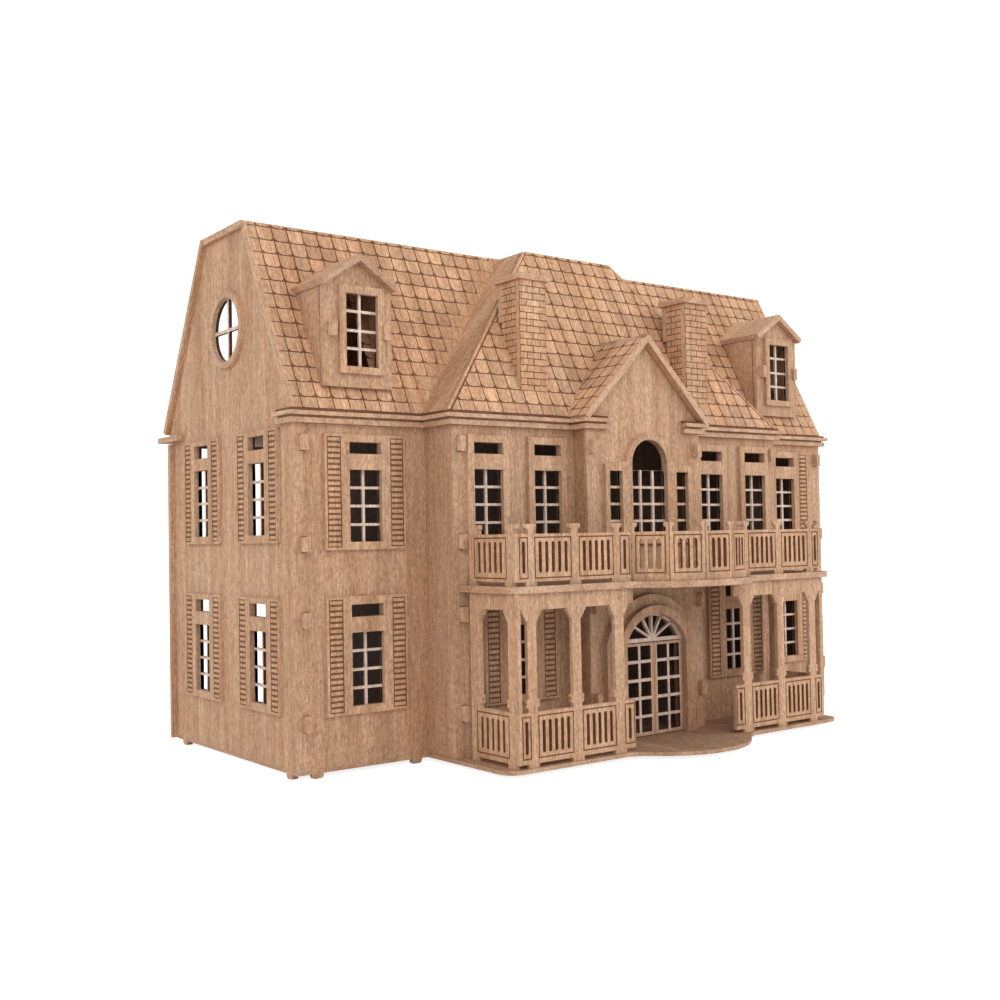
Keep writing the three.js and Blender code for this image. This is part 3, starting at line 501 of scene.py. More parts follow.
def add_floors():
    step = [(6, -83.1), (12, -81.9), (20, -78.7), (28, -73.4), (34, -67.6), (38, -64.4), (43, -62.4)]
    edge = step + rounded_front(111, -62.4, 8)
    edge += [(111, 0.12), (WING_X - 0.15, 0.12), (WING_X - 0.15, BACK_Y - 0.1)]
    base = level_at(BASE_TOP, 0.42)
    base.plate([both_sides(edge)], -BASE)
    base.build("base_board", FLOOR, replaces=("base_plate",), slot="floor_ply")

    inner = STEP_X - BOARD - 0.1
    half = [(9.5, -83.3), (27.4, -76.6), (39, DECK_Y)] + rounded_front(inner, DECK_Y, 8) + [(inner, 3.1)]
    half += [(WING_X - 6.1, 3.1), (WING_X - 6.1, BACK_Y - 0.1)]
    # The deck top takes the dark inside veneer: painted shade.
    deck = level_at(MID_TOP, 0.56)
    deck.plate([both_sides(half)])
    deck.build("deck_board", (shaded_inner_face, cut_edge, char_and_shade), replaces=("mid_floor",), slot="floor_ply")

    for name, node_name, top, over, trim in (
            ("cornice_lower", "cornice_moulding", 154.4, 2.6, 2.3),
            ("cornice_upper", "attic_floor", 157.2, 4.0, 1.8)):
        half = [(26.1, CENTRE_Y + 3.1), (26.1, CENTRE_Y - over), (CENTRE_X + over, CENTRE_Y - over)]
        half += [(CENTRE_X + over, STEP_Y - over), (STEP_X + over, STEP_Y - over), (STEP_X + over, -over)]
        half += [(WING_X + over, -over), (WING_X + over, 11.7), (WING_X - 3.1, 11.7)]
        half += [(WING_X - 3.1, BACK_Y + 9 + over)]
        cornice = level_at(top, 0.6)
        cornice.plate([both_sides(half)], -trim, 0.0)
        if name == "cornice_upper":
            for flip in (False, True):
                ear = rect(WING_X - 3.1, 121, WING_X + over, BACK_Y + 9 + over)
                cornice.plate([flipped(ear, flip)], -4.0, -1.2)
        cornice.build(name, WALL, replaces=(node_name,), slot="floor_ply")
    for name, top, over, thick in (("cornice_seam", 155.35, 1.4, 0.9), ("eaves_shadow_band", 158.4, 2.4, 1.15)):
        half = [(26.2, CENTRE_Y + 3), (26.2, CENTRE_Y - over), (CENTRE_X + over, CENTRE_Y - over)]
        half += [(CENTRE_X + over, STEP_Y - over), (STEP_X + over, STEP_Y - over), (STEP_X + over, -over)]
        half += [(WING_X + over, -over), (WING_X + over, 11.6), (WING_X - 3.2, 11.6)]
        half += [(WING_X - 3.2, BACK_Y + 9)]
        seam = level_at(top, 0.3)
        seam.plate([both_sides(half)], -thick, 0.0)
        # The eaves band under the roof foot is dark all over: painted shadow; the cornice band keeps the pale
        # edge colour.
        tone = cut_edge if name == "cornice_seam" else char_and_shade
        seam.build(name, (tone, tone, char_and_shade), slot="floor_ply")


# ---------------------------------------------------------------- gable walls

GABLE_CENTRES = (33.2, 95.5)
ROUND_Y, ROUND_Z = 65.4, 201.8
ROUND_R = 15.3


def foot(start, end):
    """A short foot below the base, rounded at its tip."""
    rounded = [(start, BASE_TOP), (start, 1.3 - SHIFT_Z), (start + 0.4, 0.4 - SHIFT_Z)]
    rounded.append((start + 1.3, -SHIFT_Z))
    return rounded + [(start + end - a, b) for a, b in reversed(rounded)]


def gable_outline():
    """The wall in (y, z): straight to the cornice, notched round it, and sloping above."""
    def front_y(z):
        return 2.9 + (z - EAVE) * FRONT_RUN

    def back_y(z):
        return 139.4 - (z - EAVE) * BACK_RUN

    low, top = ATTIC_TOP + 0.05, 247.2
    points = [(0, BASE_TOP)]
    for start, end in ((4.8, 10.2), (120.8, 126.2)):
        points += foot(start, end)
    points += [(BACK_Y - 0.1, BASE_TOP), (BACK_Y - 0.1, 153.1), (120.9, 153.1), (120.9, 156.1)]
    points += [(139.6, 156.1)]
    points += [(back_y(low), low), (back_y(top), top), (front_y(top), top), (front_y(low), low)]
    points += [(11.9, low), (11.9, WALL_TOP), (0, WALL_TOP)]
    return points


def lining_hole(centre, window):
    """The larger opening behind a gable window."""
    return rect(centre - 14, window["main"][0] - 3, centre + 17, window["transom"][1] + 1.5)


def add_gables():
    for side, sign in (("left", -1), ("right", 1)):
        wall = side_at(sign * WING_X, sign, 0.56)
        holes = [disc(ROUND_Y, ROUND_Z, ROUND_R)]
        recesses = [disc(ROUND_Y, ROUND_Z, ROUND_R + 3.4)]
        for centre in GABLE_CENTRES:
            for window in (GABLE_HIGH, GABLE_LOW):
                holes += window_openings(centre, window)
                recesses.append(lining_hole(centre, window))
        outline = turned(gable_outline(), sign)
        clear = all_turned(holes, sign)
        wall.plate([outline, *clear], -0.8, 0.0)
        # The middle layer's window reveals take the near-black edge: painted shade deeper in the opening.
        wall.plate([outline, *clear], -1.8, -0.8, charred=range(1, 1 + len(clear)))
        wall.plate([outline] + all_turned(recesses, sign), -BOARD, -1.8)
        wall.build(f"gable_{side}", GABLE, replaces=(f"gable_wall_{side}",), slot="wall_ply")

        bars = side_at(sign * WING_X, sign, 0.55)
        for centre in GABLE_CENTRES:
            for window in (GABLE_HIGH, GABLE_LOW):
                sash(bars, sign * centre, HALF_PANE, *window["main"], window["bars"], 2, -0.4, 1.5)
        cross = [disc(ROUND_Y, ROUND_Z, ROUND_R - 0.05)]
        cross += round_panes(ROUND_Y, ROUND_Z, ROUND_R - 0.3, 1.7)
        bars.plate(all_turned(cross, sign), -1.7, -0.1)
        bars.build(f"gable_{side}_sashes", GRIDS, slot="wall_ply")

        rim = side_at(sign * (WING_X + TRIM), sign, 0.6)
        circles = [disc(ROUND_Y, ROUND_Z, ROUND_R + 3.1), disc(ROUND_Y, ROUND_Z, ROUND_R)]
        rim.plate(all_turned(circles, sign), -TRIM - 0.02)
        rim.build(f"gable_{side}_round_rim", WALL, slot="wall_ply")

        for row, window in (("upper", GABLE_HIGH), ("lower", GABLE_LOW)):
            low, high = window["trim"]
            for number, centre in enumerate(GABLE_CENTRES):
                middle = sign * centre
                board = side_at(sign * (WING_X + TRIM), sign, 0.6)
                shutters = [(middle - 19.6, low + 1.2, middle - 12.9, high - 1.2)]
                shutters.append((middle + 12.9, low + 1.2, middle + 19.6, high - 1.2))
                add_trim(f"gable_{side}_{row}_trim_{number + 1}", board, middle, 20.6, window, shutters)

        # The lining behind the gable windows is dark: painted shade of the room behind.
        frame_board = side_at(sign * (WING_X - BOARD - 0.05), sign, 0.4)
        outline = rect(3.1, BASE_TOP, BACK_Y - 0.1, WALL_TOP)
        holes = []
        for centre in GABLE_CENTRES[0 if sign < 0 else 1:]:
            for window in (GABLE_HIGH, GABLE_LOW):
                holes.append(lining_hole(centre, window))
        frame_board.plate(all_turned([outline, *holes], sign), low=-2.9)
        frame_board.build(f"side_frame_board_{side}", SHADED_INNER, replaces=(f"side_frame_{side}",),
                          slot="wall_ply")


def round_panes(cy, cz, r, bar):
    """Four quadrants of a round window between the arms of its cross."""
    panes = []
    half = bar / 2
    start = math.asin(half / r)
    for quarter in range(4):
        base = quarter * math.pi / 2
        cos, sin = math.cos(base), math.sin(base)
        points = [(cy + half * cos - half * sin, cz + half * sin + half * cos)]
        for i in range(13):
            angle = base + start + (math.pi / 2 - 2 * start) * i / 12
            points.append((cy + r * math.cos(angle), cz + r * math.sin(angle)))
        panes.append(points)
    return panes


# ---------------------------------------------------------------- front walls

# Distances of the window centres from the middle of the house
FRONT_WINDOWS = {
    "left": {"wing": 142.9, "upper": (90.4, 55.2), "lower": 72.8},
    "right": {"wing": 144.0, "upper": (92.2, 57.7), "lower": 74.5},
}


def notched(x0, z0, x1, z1, tabs, depth=3.2):
    """A wall outline whose left end has a notch for each tab."""
    points = [(x0, z0), (x1, z0), (x1, z1), (x0, z1)]
    for low, high in reversed(tabs):
        points += [(x0, high + 0.25), (x0 + depth, high + 0.25), (x0 + depth, low - 0.25), (x0, low - 0.25)]
    return points


def add_tabs(name, x0, y, tabs, tone=0.55):
    """Rounded tab ends that stand out of a wall face at y."""
    board = front_at(y, tone)
    for low, high in tabs:
        board.plate([round_rect(x0, low, x0 + 3.1, high, 0.5)], -BOARD + 0.1, TAB_OUT)
    board.build(name, WALL, slot="wall_ply")


def add_wing_front(side, flip):
    sign = 1 if flip else -1
    centre = FRONT_WINDOWS[side]["wing"]
    points = notched(-WING_X + BOARD, BASE_TOP, -STEP_X + 3, WALL_TOP, TABS)
    points[1:1] = foot(-170.8, -165.2) + foot(-119.8, -114.3)
    wall = front_at(0, 0.5)
    holes = window_openings(-centre, UPPER) + window_openings(-centre, LOWER)
    wall.plate(all_flipped([points, *holes], flip), -SHEET)
    wall.build(f"wing_front_{side}_board", WALL, replaces=(f"wing_front_{side}",), slot="wall_ply")

    bars = front_at(0, 0.6)
    for window in (UPPER, LOWER):
        sash(bars, sign * centre, HALF_PANE, *window["main"], window["bars"], 2)
    bars.build(f"wing_front_{side}_sashes", BARS, slot="wall_ply")

    for row, window in (("upper", UPPER), ("lower", LOWER)):
        low, high = window["trim"]
        middle = sign * centre
        shutters = [(middle - 19.6, low + 1.2, middle - 12.6, high - 1.2)]
        shutters.append((middle + 12.8, low + 1.2, middle + 19.7, high - 1.2))
        add_trim(f"wing_front_{side}_{row}_trim", front_at(-TRIM, 0.58), middle, 20.7, window, shutters)
    x0 = WING_X - BOARD - 3.1 if flip else -WING_X + BOARD
    add_tabs(f"wing_front_{side}_tabs", x0, 0, TABS)


def add_step_walls(side, flip):
    """The walls that stand forward of a wing, under and over the deck."""
    sign = 1 if flip else -1
    name = f"front_wall_{side}"
    windows = FRONT_WINDOWS[side]
    low_points = notched(-107, BASE_TOP, -37.4, MID_LOW, TABS[:2])
    lower = front_at(STEP_Y, 0.48)
    holes = window_openings(-windows["lower"], LOWER)
    lower.plate(all_flipped([low_points, *holes], flip), -SHEET)
    lower.build(f"{name}_lower_board", WALL, replaces=(f"{name}_lower",), slot="wall_ply")
    high_points = notched(-107, MID_TOP, -37.4, WALL_TOP, TABS[2:])
    upper = front_at(STEP_Y, 0.48)
    holes = [hole for centre in windows["upper"] for hole in window_openings(-centre, UPPER)]
    upper.plate(all_flipped([high_points, *holes], flip), -SHEET)
    upper.build(f"{name}_upper_board", WALL, replaces=(f"{name}_upper",), slot="wall_ply")

    bars = front_at(STEP_Y, 0.6)
    sash(bars, sign * windows["lower"], HALF_PANE, *LOWER["main"], LOWER["bars"], 2)
    for centre in windows["upper"]:
        sash(bars, sign * centre, HALF_PANE, *UPPER["main"], UPPER["bars"], 2)
    bars.build(f"{name}_sashes", BARS, slot="wall_ply")

    middle = sign * windows["lower"]
    shutters = [(middle - 20, 24.6, middle - 13.2, 74), (middle + 13.2, 24.6, middle + 20, 74)]
    window = {**LOWER, "trim": (23.6, 75.2)}
    add_trim(f"{name}_lower_trim", front_at(STEP_Y - TRIM, 0.54), middle, 21.3, window, shutters)
    for number, centre in enumerate(windows["upper"]):
        board = front_at(STEP_Y - TRIM, 0.56)
        add_trim(f"{name}_upper_trim_{number + 1}", board, sign * centre, 11.7, UPPER, [])
    x0 = 104 if flip else -107.1
    add_tabs(f"{name}_tabs", x0, STEP_Y, TABS)

    corner = side_at(sign * STEP_X, sign, 0.48)
    corner.plate([turned(rect(STEP_Y, BASE_TOP, -0.1, WALL_TOP), sign)])
    corner.build(f"return_board_{side}", WALL, replaces=(f"return_wall_{side}",), slot="wall_ply")


def add_inner_returns():
    """The outer skin of each centre partition, where it stands forward of the walls beside it."""
    for side, sign in (("left", -1), ("right", 1)):
        board = side_at(sign * (CORE_X + 0.1), sign, 0.45)
        for low, high in ((BASE_TOP, MID_LOW), (MID_TOP, WALL_TOP)):
            board.plate([turned(rect(CENTRE_Y + 3.1, low, STEP_Y - 0.1, high), sign)], -0.6, 0.0)
        board.build(f"centre_return_{side}", WALL, slot="wall_ply")


def add_partitions():
    for side, sign in (("left", -1), ("right", 1)):
        for stem, face, start in (("partition", 107.0, STEP_Y), ("centre_partition", CORE_X, CENTRE_Y)):
            for row, low, high in (("lower", BASE_TOP, MID_LOW), ("upper", MID_TOP, WALL_TOP)):
                # Partitions take the dark inside veneer: painted shade of the rooms.
                board = side_at(sign * (face - 0.1), sign, 0.4)
                outline = rect(start + 3.1, low, BACK_Y - 0.1, high)
                doorway = round_rect(90, low + 6, 116, low + 60, 2)
                board.plate(all_turned([outline, doorway], sign), low=-2.9)
                node_name = f"{stem}_{side}_{row}"
                board.build(f"{node_name}_board", SHADED_INNER, replaces=(node_name,), slot="wall_ply")


# ---------------------------------------------------------------- centre

DOOR_HALF = 20.3
ARCH_Z = 39.5
WINDOW_X = 1.6


def add_centre():
    lower = front_at(CENTRE_Y, 0.5)
    points = [(-CENTRE_X, BASE_TOP), (-DOOR_HALF, BASE_TOP)]
    points += arch_curve(DOOR_HALF, 21.8, ARCH_Z)[::-1]
    points += [(DOOR_HALF, BASE_TOP), (CENTRE_X, BASE_TOP), (CENTRE_X, MID_LOW), (-CENTRE_X, MID_LOW)]
    lower.plate([points])
    lower.build("centre_lower_board", WALL, replaces=("centre_wall_lower",), slot="wall_ply")

    slope = 37.9
    half = [(CENTRE_X, MID_TOP), (CENTRE_X, WALL_TOP), (26, WALL_TOP), (26, ATTIC_TOP + 0.1)]
    half += [(slope, ATTIC_TOP + 0.1)]
    points = half + [(0, ATTIC_TOP + 0.1 + slope)] + mirror(half)
    upper = front_at(CENTRE_Y, 0.53)
    clear = [rect(-27, 102, -18.6, 132), rect(18.6, 102, 27, 132), arched(12, 102, 12.01, 135.9)]
    clear = [[(x + WINDOW_X, z) for x, z in hole] for hole in clear]
    upper.plate([points, *clear], -SHEET)
    upper.build("centre_upper_board", WALL, replaces=("centre_wall_upper",), slot="wall_ply")

    bars = front_at(CENTRE_Y, 0.6)
    for centre in (-22.8, 22.8):
        sash(bars, centre + WINDOW_X, 4.2, 102, 132, (107.5, 115.8, 124.1), 1)
    sash(bars, WINDOW_X, 12, 102, 132.6, (107.4, 115.8, 124.1), 3)
    bars.build("centre_upper_sashes", BARS, slot="wall_ply")

    trim = front_at(CENTRE_Y - TRIM, 0.58)
    crown = arch_curve(15.5, 15.6, 135.2)
    outline = [(-29.7, 96), (29.7, 96), (29.7, 135.1), *crown, (-29.7, 135.1)]
    trim.plate([[(x + WINDOW_X, z) for x, z in outline], *clear], -TRIM + 0.05)
    trim.build("centre_window_board", WALL, replaces=("centre_window_trim",), slot="wall_ply")
    for side, x0 in (("left", -37.4), ("right", 34.3)):
        add_tabs(f"centre_{side}_tabs", x0, CENTRE_Y, TABS)


def archway(half, r):
    inner = arch_curve(DOOR_HALF, 21.8, ARCH_Z)[::-1]
    outer = arch_curve(half, r, ARCH_Z)
    points = [(-DOOR_HALF, BASE_TOP), *inner, (DOOR_HALF, BASE_TOP)]
    return points + [(half, BASE_TOP), *outer, (-half, BASE_TOP)]


def add_doorway():
    inner = front_at(CENTRE_Y - BOARD, 0.52)
    inner.plate([archway(30.5, 31.5)])
    inner.build("door_arch_board_inner", WALL, replaces=("door_arch_inner",), slot="wall_ply")
    outer = front_at(CENTRE_Y - 2 * BOARD, 0.56)
    outer.plate([archway(25.9, 26.1)])
    outer.build("door_arch_board_outer", WALL, replaces=("door_arch_outer",), slot="wall_ply")

    fan = front_at(CENTRE_Y - BOARD, 0.62)
    fan.plate([rect(-DOOR_HALF, 47.6, DOOR_HALF, 49.4)], -2.6, -0.4)
    centre_z = 48.6
    for i in range(1, 6):
        angle = math.pi * i / 6
        along = Vector((math.cos(angle), math.sin(angle)))
        across = Vector((-along.y, along.x)) * 0.5
        reach = 2
        while math.hypot(along.x * reach, centre_z + along.y * reach - ARCH_Z) < 21.7:
            reach += 0.2
        start, end = along * 2.4, along * reach
        corners = [start - across, end - across, end + across, start + across]
        fan.plate([[(p.x, p.y + centre_z) for p in corners]], -2.4, -0.6)
    hub = [(3.2 * math.cos(t), centre_z + 3.2 * math.sin(t)) for t in [math.pi * i / 12 for i in range(13)]]
    fan.plate([hub], -2.4, -0.55)
    rim = arch_curve(DOOR_HALF, 21.8, ARCH_Z)
    band = rim + [(x * 0.955, ARCH_Z + (z - ARCH_Z) * 0.955) for x, z in reversed(rim)]
    fan.plate([band], -2.4, -0.6)
    fan.build("fanlight_bars", BARS, slot="wall_ply")


def add_leaves():
    rows = ((3.5, 10.6), (12.0, 19.5), (21.0, 28.3), (29.8, 37.4), (38.9, 45.9))
    for side, sign in (("left", -1), ("right", 1)):
        leaf = front_at(-36, 0.55)
        opening = rect(1.6, 3.2, 18.1, 46.2)
        leaf.plate([flipped(rect(0.15, 1.9, 19.5, 47.2), sign < 0), flipped(opening, sign < 0)], -2.0)
        piece = leaf.build(f"door_{side}_board", DOOR, body=f"door_{side}", slot="door_ply")
        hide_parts(f"door_leaf_{side}")
        panes = [rect(x0, z0, x1, z1) for x0, x1 in ((2.1, 9.1), (10.6, 17.6)) for z0, z1 in rows]
        grid = front_at(-35.95, 0.5)
        grid.plate([flipped(loop, sign < 0) for loop in [rect(1.62, 3.22, 18.08, 46.18), *panes]], -1.6)
        grid.build(f"door_{side}_grid", GRIDS, body=f"door_{side}", slot="door_ply")
        pins = Board((sign * 18.4, -34.5, 0), X_AXIS, Y_AXIS, 0.4)
        pins.plate([disc(0, 0, 0.75, 20)], 0.1, 2.0)
        pins.plate([disc(0, 0, 0.75, 20)], 47.1, 48.4)
        pins.build(f"door_{side}_pins", WALL, body=f"door_{side}", slot="door_ply")


# ---------------------------------------------------------------- porch and balcony

PORCH_X = 104.6
RIGHT_SHIFT = 5.4
CORNER_Y = PORCH_Y + RAIL + 0.1
SIDE_END_Y = -26.6
BAYS = ((-102.8, -97.8, 1), (-94.4, -73.2, 5), (-69.1, -48.1, 5), (-44.4, -38.2, 1))
POSTS = (-96.2, -71.2, -46.1)


def porch_board(flip, tone):
    """A front board drawn for the left porch; on the right it stands a little nearer the middle."""
    return Board((-RIGHT_SHIFT if flip else 0, PORCH_Y, 0), X_AXIS, Z_AXIS, tone)


def porch_side_board(flip, tone):
    return side_at(PORCH_X - RIGHT_SHIFT, 1, tone) if flip else side_at(-PORCH_X, -1, tone)


def slot_row(start, end, count, low, high, width):
    pitch = (end - start) / count
    slots = []
    for i in range(count):
        centre = start + pitch * (i + 0.5)
        slots.append(round_rect(centre - width / 2, low, centre + width / 2, high, width / 2.05))
    return slots


def bay_openings(bays, low, high, width=1.75):
    slots = []
    for start, end, count in bays:
        margin = (end - start) / 2 - 0.95 if count == 1 else 1.5
        slots += slot_row(start + margin, end - margin, count, low, high, width)
    return slots


def side_openings(low, high):
    return slot_row(-52.32, -32.63, 5, low, high, 1.6)


def bay_lines(bays, low, high):
    lines = []
    for start, end, count in bays:
        inset = 0 if count == 1 else 0.1
        lines += ring(start + inset, low, end - inset, high)
    return lines


CAP_RISE = ((0, 0), (0, 1.6), (0.5, 2.2), (1.2, 2.4), (1.5, 2.7), (1.5, 4.0), (1.2, 4.3))


def cap(left, right, rail, ends=(True, True)):
    """The T-shaped top of a post, from its right foot on the rail to its left one."""
    points = [(right + x * ends[1], rail + z) for x, z in CAP_RISE]
    return points + [(left - x * ends[0], rail + z) for x, z in reversed(CAP_RISE)]


def rail_outline(start, end, z0, stems, gaps):
    """A balustrade from foot to rail. Stems carry T caps; gaps under it may open at its start."""
    rail = z0 + 22.6
    points = [] if gaps[0][0] <= start else [(start, z0)]
    for low, high in gaps:
        if low > start:
            points.append((low, z0))
        points += [(max(low, start), z0 + 1.8), (high, z0 + 1.8), (high, z0)]
    points += [(end, z0), (end, rail)]
    for left, right in reversed(stems):
        points += cap(left, right, rail)
    return points + [(start, rail)]


def add_balcony():
    stems = [(post - 1.6, post + 1.6) for post in POSTS]
    gaps = ((-PORCH_X, -99.3), (-93.2, -74.4), (-67.9, -49.3))
    for side, flip in (("left", False), ("right", True)):
        bays = BAYS[:3] if flip else BAYS
        panel = porch_board(flip, 0.62)
        outline = flipped(rail_outline(-PORCH_X, -42.8 if flip else -37.5, MID_TOP, stems, gaps), flip)
        holes = all_flipped(bay_openings(bays, 84.9, 98.6), flip)
        lines = all_flipped(bay_lines(bays, 82.4, 100.6), flip)
        panel.engraved(outline, holes, lines, -RAIL)
        panel.build(f"balcony_front_{side}_board", RAILS, replaces=(f"balcony_front_{side}",),
                    slot="railing_ply")

        sign = 1 if flip else -1
        run = porch_side_board(flip, 0.6)
        rail = MID_TOP + 22.6
        outline = [(CORNER_Y, MID_TOP), (-53, MID_TOP), (-53, MID_TOP + 1.8), (-32, MID_TOP + 1.8)]
        outline += [(-32, MID_TOP), (SIDE_END_Y, MID_TOP), (SIDE_END_Y, rail)]
        outline += [(-31.9, rail), (-31.9, rail + 1.8), (-31.2, rail + 2.4), (-31.2, rail + 4.3)]
        outline += [(-34.4, rail + 4.3), (-34.4, rail + 2.4), (-33.7, rail + 1.8), (-33.7, rail)]
        outline += [(-55.7, rail), (-55.7, rail + 1.6), (-55.2, rail + 2.2), (-54.4, rail + 2.5)]
        outline += [(-54.1, rail + 2.8), (-54.1, rail + 4.3), (PORCH_Y, rail + 4.3), (PORCH_Y, rail + 2.4)]
        outline += [(CORNER_Y, rail + 2.2)]
        holes = all_turned(side_openings(84.9, 98.6), sign)
        lines = all_turned(ring(-54.4, 82.4, -30.5, 100.6), sign)
        run.engraved(turned(outline, sign), holes, lines, -RAIL)
        run.build(f"balcony_side_{side}_board", RAILS, replaces=(f"balcony_side_{side}",), slot="railing_ply")

    for number in range(5):
        (x0, y0), (x1, y1) = BOW[number], BOW[number + 1]
        length = math.hypot(x1 - x0, y1 - y0)
        along = Vector((x1 - x0, y1 - y0, 0)) / length
        middle = Vector(((x0 + x1) / 2, (y0 + y1) / 2, MID_TOP))
        facet = Board(middle, along, Z_AXIS, 0.62)
        half = length / 2 - 0.25
        right = [(half, 22.6), (half, 26.9), (half - 2.0, 26.9), (half - 2.3, 26.4), (half - 2.2, 25.2)]
        right += [(half - 1.2, 24.6), (half - 1.0, 22.6)]
        outline = [(-half, 0.05), (half, 0.05)] + right + mirror(right)
        facet.engraved(outline, slot_row(-5.7, 5.7, 3, 5.4, 19.4, 2.3), ring(-7.1, 3.4, 7.1, 21.2), low=-RAIL)
        facet.build(f"bow_board_{number + 1}", RAILS, replaces=(f"bow_panel_{number + 1}",),
                    slot="railing_ply")


def column_sides(x, inward):
    """One edge of a porch column from its foot to the beam; inward is the way the opening lies."""
    beads = ((0, 25.1), (0, 26.9), (1.0, 27.2), (1.3, 28.0), (1.2, 28.6), (0.6, 28.9), (1.2, 29.3))
    beads += ((1.3, 30.2), (0.9, 30.8), (0, 31.0))
    steps = ((0, 64.3), (1.0, 64.6), (1.1, 65.9), (2.0, 66.2), (2.1, 67.4), (2.9, 67.7), (3.0, 69.0))
    return [(x + inward * dx, z) for dx, z in beads + steps]


def porch_bay(left, right):
    return column_sides(right, -1) + column_sides(left, 1)[::-1]


def add_porch():
    bays = ((-102.8, -97.8, 1), (-94.1, -73.8, 5), (-68.8, -48.5, 5), (-43.3, -37.1, 1))
    foot = BASE_TOP + 1.8
    for side, flip in (("left", False), ("right", True)):
        board = porch_board(flip, 0.58)
        points = [(-PORCH_X, foot), (-99.3, foot), (-99.3, BASE_TOP)]
        for low, high in ((-93.5, -74.5), (-68, -49.5)):
            points += [(low, BASE_TOP), (low, foot), (high, foot), (high, BASE_TOP)]
        points += [(-42.5, BASE_TOP), (-42.5, foot), (-36.8, foot), (-36.8, 25.1)] + column_sides(-43.0, 1)
        points += [(-36.8, 69), (-36.8, MID_LOW), (-PORCH_X, MID_LOW), (-PORCH_X, 69.1)]
        points += column_sides(-99.0, -1)[::-1] + [(-PORCH_X, 25.1)]
        holes = [porch_bay(-94.1, -73.8), porch_bay(-68.8, -48.5)] + bay_openings(bays, 7.4, 21.5)
        lines = all_flipped(bay_lines(bays, 5.2, 23.7), flip)
        board.engraved(flipped(points, flip), all_flipped(holes, flip), lines, -RAIL)
        board.build(f"porch_front_{side}_board", RAILS, replaces=(f"porch_front_{side}",), slot="railing_ply")

        sign = 1 if flip else -1
        run = porch_side_board(flip, 0.56)
        points = [(CORNER_Y, BASE_TOP), (-53, BASE_TOP), (-53, foot), (-32, foot), (-32, BASE_TOP)]
        points += [(SIDE_END_Y, BASE_TOP), (SIDE_END_Y, MID_LOW), (CORNER_Y, MID_LOW), (CORNER_Y, 69)]
        points += [(PORCH_Y, 69), (PORCH_Y, 25.2), (CORNER_Y, 25.2)]
        holes = [porch_bay(-54.35, -33.5)] + side_openings(7.4, 21.5)
        lines = all_turned(ring(-54.3, 5.2, -30.6, 23.7), sign)
        run.engraved(turned(points, sign), all_turned(holes, sign), lines, -RAIL)
        run.build(f"porch_side_{side}_board", RAILS, replaces=(f"porch_side_{side}",), slot="railing_ply")


def add_back_frame():
    holes = []
    for low, high in ((8, 72), (84, 150.5)):
        for start, end in ((-165, -115), (-99, -45), (-29, 29), (45, 99), (115, 165)):
            holes.append(round_rect(start, low, end, high, 1.5))
    board = back_at(BACK_Y + BOARD, 0.5)
    board.plate([rect(-BACK_X, 0, BACK_X, WALL_TOP), *holes])
    board.build("back_frame_board", WALL, replaces=("back_frame",), slot="wall_ply")


# ---------------------------------------------------------------- roof

def tile_shape(a, b, width, height, radius=2.1, gap=LINE / 2):
    """One tile with rounded lower corners, from its lower left corner at a, b."""
    x0, x1 = a + gap, a + width - gap
    z0, z1 = b + gap, b + height - gap
    points = []
    for cx, start in ((x0 + radius, 180), (x1 - radius, 270)):
        for i in range(5):
            angle = math.radians(start + 90 * i / 4)
            points.append((cx + radius * math.cos(angle), z0 + radius + radius * math.sin(angle)))
    return points + [(x1, z1), (x0, z1)]


def tile_field(region, first_column, columns, rows, cropped=True):
    """Tiles over a convex region; rows are (bottom, top), and the lowest one has square feet."""
    tiles = []
    for number, (low, high) in enumerate(rows):
        for column in range(columns):
            a = first_column + column * TILE
            shape = rect(a + 0.25, low, a + TILE - 0.25, high - 0.25)
            if number:
                shape = tile_shape(a, low, TILE, high - low)
            kept = clip(shape, region)
            if not cropped and abs(area(kept) if kept else 0) < abs(area(shape)) - 0.2:
                continue
            tiles.append(kept)
    return tiles


def slope_board(x_origin, foot_y, tone=0.55):
    up = Vector((0, FRONT_RUN, 1)).normalized()
    return Board((x_origin, foot_y, ROOF_FOOT), X_AXIS, up, tone)


def roof_rows(top):
    """Rows up the slope, measured along it from the foot."""
    edges = [0.0]
    z = 163.9
    while z < ROOF_TOP - 0.5:
        edges.append((z - ROOF_FOOT) * SLOPE)
        z += 7.05
    edges.append(top)
    return list(zip(edges, edges[1:]))


def slant(b, foot, head, length):
    return foot + (head - foot) * b / length


